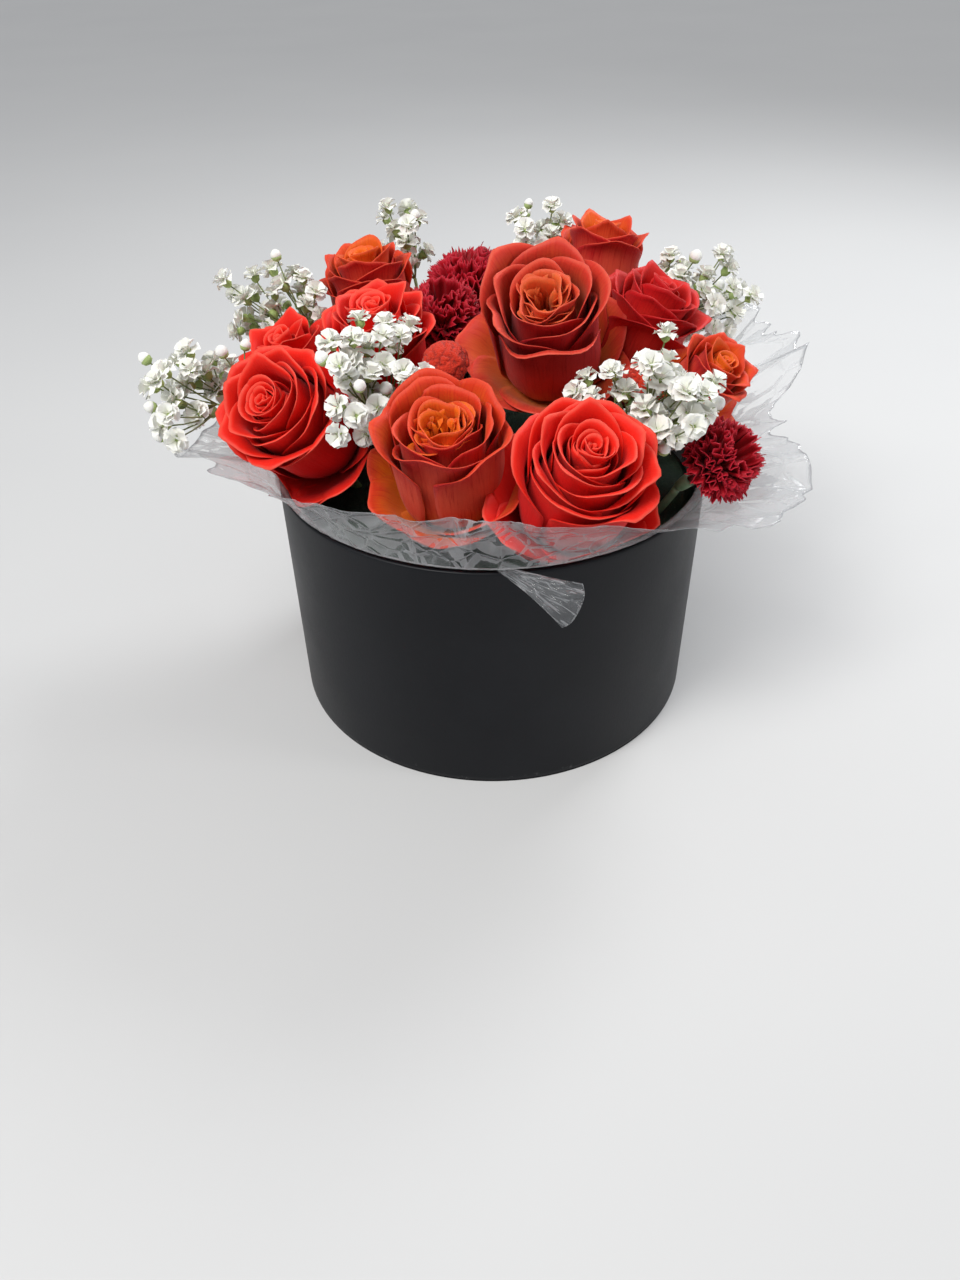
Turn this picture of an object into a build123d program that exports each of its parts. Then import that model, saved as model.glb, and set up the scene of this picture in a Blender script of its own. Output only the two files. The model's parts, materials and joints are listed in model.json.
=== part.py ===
"""A round flower box: a paper-covered board box holding a foam block lined with clear film,
with roses, carnations, celosia and baby's breath pushed into the foam.

Millimetres. +Z is up, -Y is the front, and the origin is the centre of the underside."""

import math
import os
import random
from dataclasses import dataclass

from build123d import *

# ---- driving dimensions: the box ----
BOX_R = 100.0
BOX_H = 118.0
BOARD = 2.2
PAPER = 0.4
TURN_IN = 15.0
RIM_ROUND = 0.35

# ---- the foam block and the film round it ----
FOAM_R = 95.4
FOAM_BOTTOM = 3.9
FOAM_TOP = 108.0
FOAM_CHAMFER = 4.0
FILM = 0.5
FILM_GAP = 0.3
COLLAR_RISE = 19.5
COLLAR_WALL = 0.8
RIM_CLEARANCE = 0.6

# ---- flowers ----
FAN_POINT = Vector(0, 0, -10)
INSERTED = 50.0
HOLE_PLAY = 0.08
HOLE_END_PLAY = 0.3
PLAY = 0.3
ROSE_STEM_R = 2.8
SMALL_ROSE_STEM_R = 2.2
CARNATION_STEM_R = 1.9
CELOSIA_STEM_R = 2.0
SPRIG_STEM_R = 1.1
BRANCH_R = 0.5
POINT_LENGTH = 2.0
HIP_RATIO = 1.7
CUP_RATIO = 0.19
SEPALS = 5
SEPAL = 0.7
SEPAL_ARC = 26
FLORET_R = 4.6
BUD_R = 2.6
FLORET_SPACE = 0.8
TRIES = 4000

os.makedirs("parts", exist_ok=True)


@dataclass
class Flower:
    """One cut flower: where the middle of its bloom stands, its size and the way it faces."""

    name: str
    middle: tuple
    radius: float
    face: tuple
    stem_r: float

    @property
    def centre(self):
        return Vector(*self.middle)

    @property
    def facing(self):
        return Vector(*self.face).normalized()

    @property
    def knot(self):
        """The point where the stem meets the underside of the bloom."""
        return self.centre - self.facing * self.radius * 1.05


@dataclass
class Sprig:
    """One stem of baby's breath: its fork, and the middle and half sizes of its cloud of flowers."""

    name: str
    fork: tuple
    middle: tuple
    spread: tuple
    flowers: int
    buds: int
    seed: int
    stem_r: float = SPRIG_STEM_R

    @property
    def centre(self):
        return Vector(*self.middle)

    @property
    def knot(self):
        return Vector(*self.fork)


@dataclass
class Flap:
    """A corner of the film sheet that stands out past the collar, from a root on it to a point."""

    angle: float
    half_angle: float
    root_r: float
    root_z: float
    tip_r: float
    tip_z: float


ROSES = [
    Flower("red_rose_left", (-88, -30, 153), 25.0, (-0.35, -0.62, 0.70), ROSE_STEM_R),
    Flower("orange_rose_front", (-18.5, -63, 155), 25.0, (-0.05, -0.35, 0.94), ROSE_STEM_R),
    Flower("red_rose_right", (36, -79, 151), 25.5, (0.12, -0.50, 0.86), ROSE_STEM_R),
    Flower("orange_rose_top", (24, 4, 184), 25.5, (-0.10, -0.55, 0.83), ROSE_STEM_R),
    Flower("red_rose_middle", (-51, 13, 170), 23.0, (-0.05, -0.20, 0.98), ROSE_STEM_R),
    Flower("orange_rose_back_left", (-60, 76, 172), 22.5, (-0.15, -0.05, 0.99), ROSE_STEM_R),
    Flower("coral_rose_right", (74, 37, 168), 23.5, (0.35, -0.10, 0.93), ROSE_STEM_R),
    Flower("orange_rose_back", (56, 85, 182), 21.0, (0.10, 0.10, 0.99), ROSE_STEM_R),
    Flower("small_orange_rose", (98, -3, 157), 16.0, (0.45, -0.40, 0.80), SMALL_ROSE_STEM_R),
    Flower("red_rose_back_left", (-94, 31, 151), 21.0, (-0.35, -0.15, 0.92), ROSE_STEM_R),
]
CARNATIONS = [
    Flower("carnation_back", (-11, 90, 172), 20.0, (0.00, -0.05, 0.99), CARNATION_STEM_R),
    Flower("carnation_middle", (-23, 46, 172), 17.0, (-0.05, -0.10, 0.99), CARNATION_STEM_R),
    Flower("carnation_right", (97, -59, 148), 15.0, (0.60, -0.35, 0.72), CARNATION_STEM_R),
]
CELOSIAS = [
    Flower("celosia_middle", (-19, -19, 171), 10.0, (-0.05, -0.10, 0.99), CELOSIA_STEM_R),
    Flower("celosia_right", (66, -14, 160), 9.0, (0.20, -0.10, 0.97), CELOSIA_STEM_R),
]
SPRIGS = [
    Sprig("breath_left", (-92, -5, 125), (-128, -20, 158), (22, 34, 18), 9, 3, 3),
    Sprig("breath_back_left", (-76, 50, 128), (-106, 70, 164), (22, 24, 16), 11, 4, 7),
    Sprig("breath_middle", (-44, -22, 140), (-49, -28, 168), (16, 36, 17), 12, 3, 11),
    Sprig("breath_back", (-34, 90, 142), (-42, 112, 186), (20, 14, 14), 7, 4, 5),
    Sprig("breath_back_middle", (20, 86, 142), (22, 104, 188), (22, 14, 16), 8, 4, 13),
    Sprig("breath_back_right", (70, 61, 134), (106, 70, 170), (18, 28, 18), 12, 4, 17),
    Sprig("breath_right", (58, -44, 136), (66, -48, 165), (30, 26, 19), 14, 3, 19),
]
# how far out the collar's free edge stands, as (angle, radius) round the box
COLLAR_EDGE = [
    (-171, 141), (-150, 121), (-112, 107), (-90, 107), (-66, 117), (-45, 131), (-17, 140), (0, 128),
    (20, 141), (45, 124), (80, 117), (110, 118), (135, 123), (160, 123),
]
FLAPS = [
    Flap(19.0, 13.0, 138.0, 137.2, 160.0, 153.0),
    Flap(-76.0, 6.0, 98.2, 121.2, 132.0, 113.0),
]
BLOOMS = ROSES + CARNATIONS + CELOSIAS


def save(part, name):
    """Labels a finished piece and writes it to its own file."""
    part.label = name
    export_step(part, f"parts/{name}.step")


def beside(origin, axis):
    """A drawing plane through origin whose own Y runs along axis, for profiles to be revolved."""
    across = Vector(0, 0, 1).cross(axis)
    if across.length < 1e-6:
        across = Vector(1, 0, 0)
    return Plane(origin=origin, x_dir=across, z_dir=across.cross(axis))


def turned_plane(plane, axis, angle):
    """A drawing plane turned about an axis through its origin."""
    spindle = Axis((0, 0, 0), axis)
    return Plane(
        origin=plane.origin,
        x_dir=plane.x_dir.rotate(spindle, angle),
        z_dir=plane.z_dir.rotate(spindle, angle),
    )


def pull_axis(plant):
    """The way a plant's stem points, and the way it pulls out of the foam."""
    return (plant.knot - FAN_POINT).normalized()


def stem_foot(plant):
    """The lower end of a stem: INSERTED along it below the top of the foam."""
    axis = pull_axis(plant)
    entry = plant.knot - axis * ((plant.knot.Z - FOAM_TOP) / axis.Z)
    return entry - axis * INSERTED


# ---- the box ----
with BuildPart() as box_wall:
    with BuildSketch(Plane.XY.offset(PAPER)):
        Circle(BOX_R - PAPER)
        Circle(BOX_R - PAPER - BOARD, mode=Mode.SUBTRACT)
    extrude(amount=BOX_H - 2 * PAPER)
save(box_wall.part, "box_wall")

with BuildPart() as box_base:
    with BuildSketch(Plane.XY.offset(PAPER)):
        Circle(BOX_R - PAPER - BOARD)
    extrude(amount=BOARD)
save(box_base.part, "box_base")

with BuildPart() as base_paper:
    with BuildSketch():
        Circle(BOX_R)
    extrude(amount=PAPER)
save(base_paper.part, "base_paper")

# the covering paper goes up the outside, over the rim and a little way down inside
with BuildPart() as wall_paper:
    with BuildSketch(Plane.XZ):
        with BuildLine():
            Polyline(
                (BOX_R - PAPER, PAPER),
                (BOX_R, PAPER),
                (BOX_R, BOX_H),
                (BOX_R - 2 * PAPER - BOARD, BOX_H),
                (BOX_R - 2 * PAPER - BOARD, BOX_H - TURN_IN),
                (BOX_R - PAPER - BOARD, BOX_H - TURN_IN),
                (BOX_R - PAPER - BOARD, BOX_H - PAPER),
                (BOX_R - PAPER, BOX_H - PAPER),
                close=True,
            )
        make_face()
    revolve(axis=Axis.Z)
    fillet(wall_paper.edges().filter_by(GeomType.CIRCLE).group_by(Axis.Z)[-1], RIM_ROUND)
save(wall_paper.part, "wall_paper")

# ---- the foam, with one blind hole for each stem ----
with BuildPart() as foam_block:
    with BuildSketch(Plane.XY.offset(FOAM_BOTTOM)):
        Circle(FOAM_R)
    extrude(amount=FOAM_TOP - FOAM_BOTTOM)
    chamfer(foam_block.edges().group_by(Axis.Z)[-1], FOAM_CHAMFER)
    for plant in BLOOMS + SPRIGS:
        hole_end = stem_foot(plant) - pull_axis(plant) * HOLE_END_PLAY
        with BuildSketch(Plane(origin=hole_end, z_dir=pull_axis(plant))):
            Circle(plant.stem_r + HOLE_PLAY)
        extrude(amount=INSERTED * 1.5, mode=Mode.SUBTRACT)
save(foam_block.part, "foam_block")

# ---- the film: a pouch under and round the foam, flaring over the rim as a collar with corners ----
POUCH_R = FOAM_R + FILM_GAP
POUCH_BOTTOM = FOAM_BOTTOM - FILM_GAP
TURN_Z = BOX_H + RIM_CLEARANCE
COLLAR_TOP = TURN_Z + COLLAR_RISE


def polar(angle, radius):
    """The point in plan at an angle in degrees and a radius."""
    return (radius * math.cos(math.radians(angle)), radius * math.sin(math.radians(angle)))


with BuildPart() as film_liner:
    # the flare from the pouch's round mouth to the wavy free edge, then its inside taken away
    for inset, mode in ((0, Mode.ADD), (COLLAR_WALL, Mode.SUBTRACT)):
        with BuildSketch(Plane.XY.offset(TURN_Z)):
            Circle(POUCH_R + FILM - inset)
        with BuildSketch(Plane.XY.offset(COLLAR_TOP)):
            with BuildLine():
                Spline([polar(angle, radius - inset) for angle, radius in COLLAR_EDGE], periodic=True)
            make_face()
        loft(ruled=True, mode=mode)
    with BuildSketch(Plane.XZ):
        with BuildLine():
            Polyline(
                (0, POUCH_BOTTOM),
                (POUCH_R, POUCH_BOTTOM),
                (POUCH_R, TURN_Z + FILM),
                (POUCH_R + FILM, TURN_Z + FILM),
                (POUCH_R + FILM, POUCH_BOTTOM - FILM),
                (0, POUCH_BOTTOM - FILM),
                close=True,
            )
        make_face()
    revolve(axis=Axis.Z)
    for flap in FLAPS:
        tip = Vector(*polar(flap.angle, flap.tip_r), flap.tip_z)
        left = Vector(*polar(flap.angle + flap.half_angle, flap.root_r), flap.root_z)
        right = Vector(*polar(flap.angle - flap.half_angle, flap.root_r), flap.root_z)
        flap_plane = Plane(origin=left, x_dir=right - left, z_dir=(right - left).cross(tip - left))
        tip_local = flap_plane.to_local_coords(tip)
        with BuildSketch(flap_plane):
            Polygon((0, 0), ((right - left).length, 0), (tip_local.X, tip_local.Y), align=None)
        extrude(amount=FILM / 2, both=True)
save(film_liner.part, "film_liner")


# ---- roses ----
def rose_bloom(flower):
    """The closed head of petals: an egg on a narrow foot, its crown slightly flattened."""
    r = flower.radius
    with BuildPart() as bloom:
        with BuildSketch(beside(flower.centre, flower.facing)):
            with BuildLine():
                Polyline((0, 0.89 * r), (0, -0.98 * r), (0.22 * r, -0.98 * r))
                Spline(
                    (0.22 * r, -0.98 * r),
                    (0.80 * r, -0.56 * r),
                    (0.99 * r, 0),
                    (0.86 * r, 0.50 * r),
                    (0, 0.89 * r),
                    tangents=[(1, 0.3), (-1, 0)],
                )
            make_face()
        revolve(axis=Axis(flower.centre, flower.facing))
    return bloom.part


def bloom_stem(flower):
    """A cut stem, straight from its point in the foam, with the cup that the petals stand in."""
    axis = pull_axis(flower)
    foot = stem_foot(flower)
    reach = (flower.knot - foot).length
    cup_r = min(flower.stem_r * HIP_RATIO, CUP_RATIO * flower.radius)
    hip = 0.9 * cup_r
    cup_top = -0.98 * flower.radius - PLAY
    cup_foot = cup_top - 1.4 * cup_r
    with BuildPart() as stem:
        with BuildSketch(beside(foot, axis)):
            with BuildLine():
                Polyline((0, 0), (flower.stem_r, POINT_LENGTH), (flower.stem_r, reach - 2 * hip))
                Spline(
                    (flower.stem_r, reach - 2 * hip),
                    (hip, reach - 0.8 * hip),
                    (0, reach),
                    tangents=[(0, 1), (-1, 0)],
                )
                Line((0, reach), (0, 0))
            make_face()
        revolve(axis=Axis(foot, axis))
        with BuildSketch(beside(flower.centre, flower.facing)):
            with BuildLine():
                Spline((0, cup_foot), (cup_r, cup_top), tangents=[(1, 0), (0, 1)])
                Polyline((cup_r, cup_top), (0, cup_top), (0, cup_foot))
            make_face()
        revolve(axis=Axis(flower.centre, flower.facing))
    return stem.part


def rose_sepals(flower):
    """Five thin green blades that cup the underside of the bloom."""
    r = flower.radius
    plane = beside(flower.centre, flower.facing)
    foot = (0.24 * r, -1.03 * r)
    middle = (0.62 * r, -0.83 * r)
    tip = (0.84 * r, -0.58 * r)
    with BuildPart() as sepals:
        for turn in range(SEPALS):
            with BuildSketch(turned_plane(plane, flower.facing, 360 / SEPALS * turn)):
                with BuildLine():
                    ThreePointArc(foot, middle, tip)
                    Line(tip, (tip[0], tip[1] - SEPAL))
                    ThreePointArc((tip[0], tip[1] - SEPAL), (middle[0], middle[1] - SEPAL),
                                  (foot[0], foot[1] - SEPAL))
                    Line((foot[0], foot[1] - SEPAL), foot)
                make_face()
            revolve(axis=Axis(flower.centre, flower.facing), revolution_arc=SEPAL_ARC)
    return sepals.part


for rose in ROSES:
    save(rose_bloom(rose), f"{rose.name}_bloom")
    save(bloom_stem(rose), f"{rose.name}_stem")
    save(rose_sepals(rose), f"{rose.name}_sepals")


# ---- carnations and celosia ----
def domed_bloom(flower):
    """A ruffled head as its outer shape: a dome over a cone that narrows to the cup."""
    r = flower.radius
    with BuildPart() as bloom:
        with BuildSketch(beside(flower.centre, flower.facing)):
            with BuildLine():
                Polyline((0, 0.85 * r), (0, -0.98 * r), (0.2 * r, -0.98 * r), (0.9 * r, -0.3 * r))
                Spline((0.9 * r, -0.3 * r), (0.95 * r, 0.15 * r), (0, 0.85 * r), tangents=[(0.3, 1), (-1, 0)])
            make_face()
        revolve(axis=Axis(flower.centre, flower.facing))
    return bloom.part


for flower in CARNATIONS + CELOSIAS:
    save(domed_bloom(flower), f"{flower.name}_bloom")
    save(bloom_stem(flower), f"{flower.name}_stem")


# ---- baby's breath ----
def in_the_way(place, sprig):
    """Whether a flower at place would touch a bloom, with either or both of them pulled."""
    pulls = (0, INSERTED / 2, INSERTED)
    for flower in BLOOMS:
        room = flower.radius + FLORET_R + 1
        for pull in pulls:
            here = place + pull_axis(sprig) * pull
            for other_pull in pulls:
                if (here - flower.centre - pull_axis(flower) * other_pull).length < room:
                    return True
    return False


def far_from_line(point, start, end):
    """Whether point stays a flower's width from the line between start and end."""
    along = (end - start).normalized()
    reach = min(max((point - start).dot(along), 0), (end - start).length)
    return (point - start - along * reach).length > FLORET_R + BRANCH_R + PLAY


def cloud(sprig):
    """Places for a sprig's flowers: spaced apart, over the collar and out of the way of the blooms."""
    draw = random.Random(sprig.seed)
    places = []
    for _ in range(TRIES):
        if len(places) == sprig.flowers + sprig.buds:
            break
        offset = Vector(draw.uniform(-1, 1), draw.uniform(-1, 1), draw.uniform(-1, 1))
        if offset.length > 1:
            continue
        place = sprig.centre + Vector(*(half * part for half, part in zip(sprig.spread, offset)))
        spaced = all((place - other).length > 2 * FLORET_R + FLORET_SPACE for other in places)
        clear_lines = all(far_from_line(place, sprig.knot, other) for other in places)
        clear_own = all(far_from_line(other, sprig.knot, place) for other in places)
        over_collar = place.Z > COLLAR_TOP + FLORET_R + PLAY
        halfway = (place + sprig.knot) * 0.5
        if not (spaced and clear_lines and clear_own and over_collar):
            continue
        if in_the_way(place, sprig) or in_the_way(halfway, sprig):
            continue
        places.append(place)
    return places


def sprig_stem(sprig, places):
    """The thin stem and one branch from its fork to each flower."""
    foot = stem_foot(sprig)
    axis = pull_axis(sprig)
    reach = (sprig.knot - foot).length
    with BuildPart() as stem:
        with BuildSketch(beside(foot, axis)):
            with BuildLine():
                Polyline((0, 0), (SPRIG_STEM_R, POINT_LENGTH), (SPRIG_STEM_R, reach), (0, reach), close=True)
            make_face()
        revolve(axis=Axis(foot, axis))
        with Locations(sprig.knot):
            Sphere(SPRIG_STEM_R)
        for number, place in enumerate(places):
            size = FLORET_R if number < sprig.flowers else BUD_R
            along = (place - sprig.knot).normalized()
            length = (place - sprig.knot).length - size - PLAY
            with BuildSketch(Plane(origin=sprig.knot, z_dir=along)):
                Circle(BRANCH_R)
            extrude(amount=length)
    return stem.part


def sprig_flowers(sprig, places):
    """The small double flowers and the round buds, as separate solids."""
    with BuildPart() as flowers:
        with Locations(*places[:sprig.flowers]):
            Sphere(FLORET_R)
        if places[sprig.flowers:]:
            with Locations(*places[sprig.flowers:]):
                Sphere(BUD_R)
    return flowers.part


for sprig in SPRIGS:
    places = cloud(sprig)
    print(sprig.name, len(places), "flowers and buds placed of", sprig.flowers + sprig.buds)
    save(sprig_stem(sprig, places), f"{sprig.name}_stem")
    save(sprig_flowers(sprig, places), f"{sprig.name}_flowers")
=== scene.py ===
"""A round black flower box: roses, carnations, celosia and baby's breath in lined floral foam."""

import sys

import json
import logging
import math
import random
from dataclasses import dataclass, field
from enum import Enum

import bpy
import numpy as np
from mathutils import Matrix, Vector, noise

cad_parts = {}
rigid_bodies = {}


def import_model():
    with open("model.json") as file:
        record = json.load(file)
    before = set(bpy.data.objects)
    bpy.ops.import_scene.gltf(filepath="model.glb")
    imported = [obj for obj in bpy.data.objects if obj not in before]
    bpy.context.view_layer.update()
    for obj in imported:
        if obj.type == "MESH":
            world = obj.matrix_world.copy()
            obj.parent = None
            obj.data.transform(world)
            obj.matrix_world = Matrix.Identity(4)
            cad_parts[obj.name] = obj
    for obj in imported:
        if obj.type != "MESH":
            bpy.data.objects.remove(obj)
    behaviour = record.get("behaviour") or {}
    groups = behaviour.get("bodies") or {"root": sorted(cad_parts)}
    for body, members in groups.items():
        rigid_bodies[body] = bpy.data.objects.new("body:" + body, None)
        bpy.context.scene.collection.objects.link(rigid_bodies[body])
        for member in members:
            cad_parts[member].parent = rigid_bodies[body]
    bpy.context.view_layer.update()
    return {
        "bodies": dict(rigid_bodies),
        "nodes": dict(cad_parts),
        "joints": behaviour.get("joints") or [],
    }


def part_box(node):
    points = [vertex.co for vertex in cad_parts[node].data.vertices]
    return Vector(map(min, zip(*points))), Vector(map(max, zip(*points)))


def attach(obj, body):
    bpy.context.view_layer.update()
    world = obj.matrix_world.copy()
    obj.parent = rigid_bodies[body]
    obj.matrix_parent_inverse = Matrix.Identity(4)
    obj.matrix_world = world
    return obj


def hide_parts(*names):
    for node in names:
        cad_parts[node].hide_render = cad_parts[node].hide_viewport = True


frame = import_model()
LOG = logging.getLogger("flower_box")

MM = 0.001
GOLDEN_ANGLE = math.radians(137.508)
BLOOM_FILL = 1.08  # the petals' reach against the radius of the frame's bloom
PLAIN_SEAT = 0.98  # how far under a bloom's middle its cup is, in radii
ROSE_SPAN, HEAD_SPAN = 0.99, 0.955  # how wide the frame's roses and other heads are, in radii
PULL = 50  # how far a flower slides out of the foam, in millimetres


# ---------------------------------------------------------------- shader wiring


class Socket:
    """An output socket of a shader tree that can be used in Python expressions."""

    def __init__(self, tree: "ShaderTree", output: bpy.types.NodeSocket) -> None:
        """Keeps the tree and the output that this value comes from."""
        self.tree = tree
        self.output = output

    def _maths(self, operation: str, first: object, second: object = 0.0) -> "Socket":
        """Adds one Math node."""
        return self.tree.node("ShaderNodeMath", {"operation": operation}, {0: first, 1: second})

    def __add__(self, other: object) -> "Socket":
        """Sum of two values."""
        return self._maths("ADD", self, other)

    def __radd__(self, other: object) -> "Socket":
        """Sum with a plain number first."""
        return self._maths("ADD", other, self)

    def __sub__(self, other: object) -> "Socket":
        """Difference of two values."""
        return self._maths("SUBTRACT", self, other)

    def __rsub__(self, other: object) -> "Socket":
        """Difference with a plain number first."""
        return self._maths("SUBTRACT", other, self)

    def __mul__(self, other: object) -> "Socket":
        """Product of two values."""
        return self._maths("MULTIPLY", self, other)

    def __rmul__(self, other: object) -> "Socket":
        """Product with a plain number first."""
        return self._maths("MULTIPLY", other, self)

    def clamped(self, low: float = 0.0, high: float = 1.0) -> "Socket":
        """The value kept between low and high."""
        return self._maths("MINIMUM", self._maths("MAXIMUM", self, low), high)

    def between(self, low: float, high: float, out_low: float = 0.0, out_high: float = 1.0) -> "Socket":
        """The value mapped smoothly from low..high to out_low..out_high.

        Args:
            low: value that gives out_low.
            high: value that gives out_high.
            out_low: result at and below low.
            out_high: result at and above high.

        Returns:
            The mapped value.
        """
        return self.tree.node(
            "ShaderNodeMapRange",
            {"interpolation_type": "SMOOTHSTEP"},
            {"Value": self, "From Min": low, "From Max": high, "To Min": out_low, "To Max": out_high},
            "Result",
        )


class ShaderTree:
    """One material's node tree, built by short calls."""

    def __init__(self, name: str) -> None:
        """Makes an empty material of that name."""
        self.material = bpy.data.materials.new(name)
        self.material.use_nodes = True
        self.tree = self.material.node_tree
        self.tree.nodes.clear()

    def node(self, kind: str, settings: dict | None = None, sockets: dict | None = None,
             output: str | int = 0) -> Socket:
        """Adds a node of any kind.

        Args:
            kind: the node's type.
            settings: properties to set first; a ramp's stops come as "stops".
            sockets: values or links of its input sockets, by name or number.
            output: which output to hand back.

        Returns:
            The chosen output as a Socket.
        """
        made = self.tree.nodes.new(kind)
        for key, value in (settings or {}).items():
            if key == "stops":
                self._set_stops(made.color_ramp, value)
            else:
                setattr(made, key, value)
        for key, value in (sockets or {}).items():
            if isinstance(value, Socket):
                self.tree.links.new(value.output, made.inputs[key])
            else:
                made.inputs[key].default_value = value
        return Socket(self, made.outputs[output])

    @staticmethod
    def _set_stops(ramp: bpy.types.ColorRamp, stops: list) -> None:
        """Gives a colour ramp its (position, colour) stops."""
        while len(ramp.elements) < len(stops):
            ramp.elements.new(1.0)
        for element, (place, colour) in zip(ramp.elements, stops):
            element.position = place
            element.color = (*colour, 1.0)

    def uv(self) -> Socket:
        """The piece's own UV map."""
        return self.node("ShaderNodeUVMap", {"uv_map": "petal"})

    def part(self, vector: Socket, axis: str) -> Socket:
        """One coordinate of a vector."""
        return self.node("ShaderNodeSeparateXYZ", {}, {0: vector}, axis)

    def attribute(self, name: str) -> Socket:
        """A number stored on the mesh."""
        return self.node("ShaderNodeAttribute", {"attribute_name": name}, {}, "Fac")

    def object_place(self) -> Socket:
        """Object coordinates."""
        return self.node("ShaderNodeTexCoord", {}, {}, "Object")

    def scaled(self, vector: Socket, scale: tuple) -> Socket:
        """A vector scaled along its axes."""
        return self.node("ShaderNodeMapping", {"vector_type": "POINT"}, {"Vector": vector, "Scale": scale})

    def noise(self, vector: Socket, scale: float, detail: float = 3.0, rough: float = 0.5) -> Socket:
        """Fractal noise from 0 to 1."""
        return self.node("ShaderNodeTexNoise", {},
                         {"Vector": vector, "Scale": scale, "Detail": detail, "Roughness": rough})

    def mix(self, share: object, first: object, second: object) -> Socket:
        """Two colours mixed by a share."""
        sockets = {0: share, 6: _rgba(first), 7: _rgba(second)}
        return self.node("ShaderNodeMix", {"data_type": "RGBA"}, sockets, 2)

    def tint(self, share: object, colour: object, by: object) -> Socket:
        """A colour multiplied by another, by a share."""
        sockets = {0: share, 6: _rgba(colour), 7: _rgba(by)}
        return self.node("ShaderNodeMix", {"data_type": "RGBA", "blend_type": "MULTIPLY"}, sockets, 2)

    def bump(self, height: Socket, strength: float, distance: float) -> Socket:
        """A bumped normal."""
        return self.node("ShaderNodeBump", {}, {"Height": height, "Strength": strength, "Distance": distance})

    def finish(self, sockets: dict) -> bpy.types.Material:
        """Adds the surface shader and the output.

        Args:
            sockets: values or links of the Principled shader.

        Returns:
            The finished material.
        """
        shader = self.node("ShaderNodeBsdfPrincipled", {}, sockets)
        return self.surface(shader)

    def surface(self, shader: Socket) -> bpy.types.Material:
        """Links a shader to the material's output and hands the material back."""
        end = self.tree.nodes.new("ShaderNodeOutputMaterial")
        self.tree.links.new(shader.output, end.inputs["Surface"])
        return self.material


def _rgba(value: object) -> object:
    """A colour with alpha, or the socket as it is."""
    return value if isinstance(value, Socket) else (*value, 1.0)


# ---------------------------------------------------------------- finishes


class Side(Enum):
    """Which face of a petal or sheet a vertex belongs to."""

    INNER = 0.0
    OUTER = 1.0


@dataclass(frozen=True)
class PetalFinish:
    """A velvety petal: its colours from foot to lip, inside and outside."""

    name: str
    foot_inside: tuple
    inside: tuple
    lip_inside: tuple
    foot_outside: tuple
    outside: tuple
    lip_outside: tuple
    heart: tuple
    vein: tuple
    vein_share: float
    lip_start: float = 0.72
    edge: tuple = (0.85, 0.22, 0.18)
    edge_share: float = 0.35
    heart_reach: float = 0.30
    heart_outside: float = 0.2

    def build(self) -> bpy.types.Material:
        """Wires the petal's colour, veins and nap.

        Returns:
            The material.
        """
        t = ShaderTree(self.name)
        uv = t.uv()
        along = t.part(uv, "Y")
        side = t.attribute("side")
        layer = t.attribute("layer")
        shade = t.attribute("shade")
        veins = t.noise(t.scaled(uv, (46.0, 3.2, 1.0)), 1.0, 4.0, 0.6)
        cloud = t.noise(t.scaled(uv, (3.0, 2.0, 1.0)), 1.4, 2.0)
        drift = along + (cloud - 0.5) * 0.35 + (veins - 0.5) * 0.22
        foot_blend = drift.between(0.12, 0.55)
        lip_blend = drift.between(self.lip_start, 1.0)
        inner = t.mix(lip_blend, t.mix(foot_blend, self.foot_inside, self.inside), self.lip_inside)
        heart = layer.between(self.heart_reach, self.heart_reach - 0.25)
        inner = t.mix(heart, inner, t.mix(lip_blend * 0.25, self.heart, inner))
        outer = t.mix(lip_blend, t.mix(foot_blend, self.foot_outside, self.outside), self.lip_outside)
        outer = t.mix(heart * self.heart_outside, outer, self.heart)
        base = t.mix(side, inner, outer)
        vein_mask = veins.between(0.5, 0.72) * self.vein_share
        base = t.tint(vein_mask * (0.45 + side * 0.55), base, self.vein)
        base = t.tint((shade * 0.5).clamped(), base, (0.62, 0.45, 0.45))
        rim = along.between(0.968, 0.995)
        base = t.mix((rim * self.edge_share).clamped(), base, self.edge)
        nap = t.noise(t.scaled(uv, (150.0, 70.0, 1.0)), 1.0, 2.0)
        height = veins * 0.7 + nap * 0.3 + t.noise(t.scaled(uv, (9.0, 5.0, 1.0)), 1.0, 2.0) * 1.2
        return t.finish({
            "Base Color": base,
            "Roughness": nap.between(0.2, 0.8, 0.46, 0.62),
            "Normal": t.bump(height, 0.32, 0.0009),
            "Subsurface Weight": 0.12,
            "Subsurface Radius": (0.006, 0.0016, 0.001),
            "Subsurface Scale": 0.25,
            "Sheen Weight": 0.05,
            "Sheen Roughness": 0.45,
            "Specular IOR Level": 0.20,
        })


@dataclass(frozen=True)
class LeafFinish:
    """Green stems, cups and sepals."""

    name: str
    green: tuple
    pale: tuple
    flush: tuple
    grain: float

    def build(self) -> bpy.types.Material:
        """Wires the streaked, slightly waxy green.

        Returns:
            The material.
        """
        t = ShaderTree(self.name)
        place = t.object_place()
        blotch = t.noise(place, 120.0, 3.0)
        fibre = t.noise(t.scaled(place, (900.0, 900.0, 90.0)), 1.0, 3.0)
        colour = t.mix(blotch.between(0.35, 0.7), self.green, self.pale)
        colour = t.mix(fibre.between(0.6, 0.85) * 0.5, colour, self.flush)
        return t.finish({
            "Base Color": colour,
            "Roughness": blotch.between(0.3, 0.7, 0.42, 0.6),
            "Normal": t.bump(fibre, self.grain, 0.0004),
            "Subsurface Weight": 0.08,
            "Subsurface Radius": (0.002, 0.003, 0.001),
            "Subsurface Scale": 0.2,
        })


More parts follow.
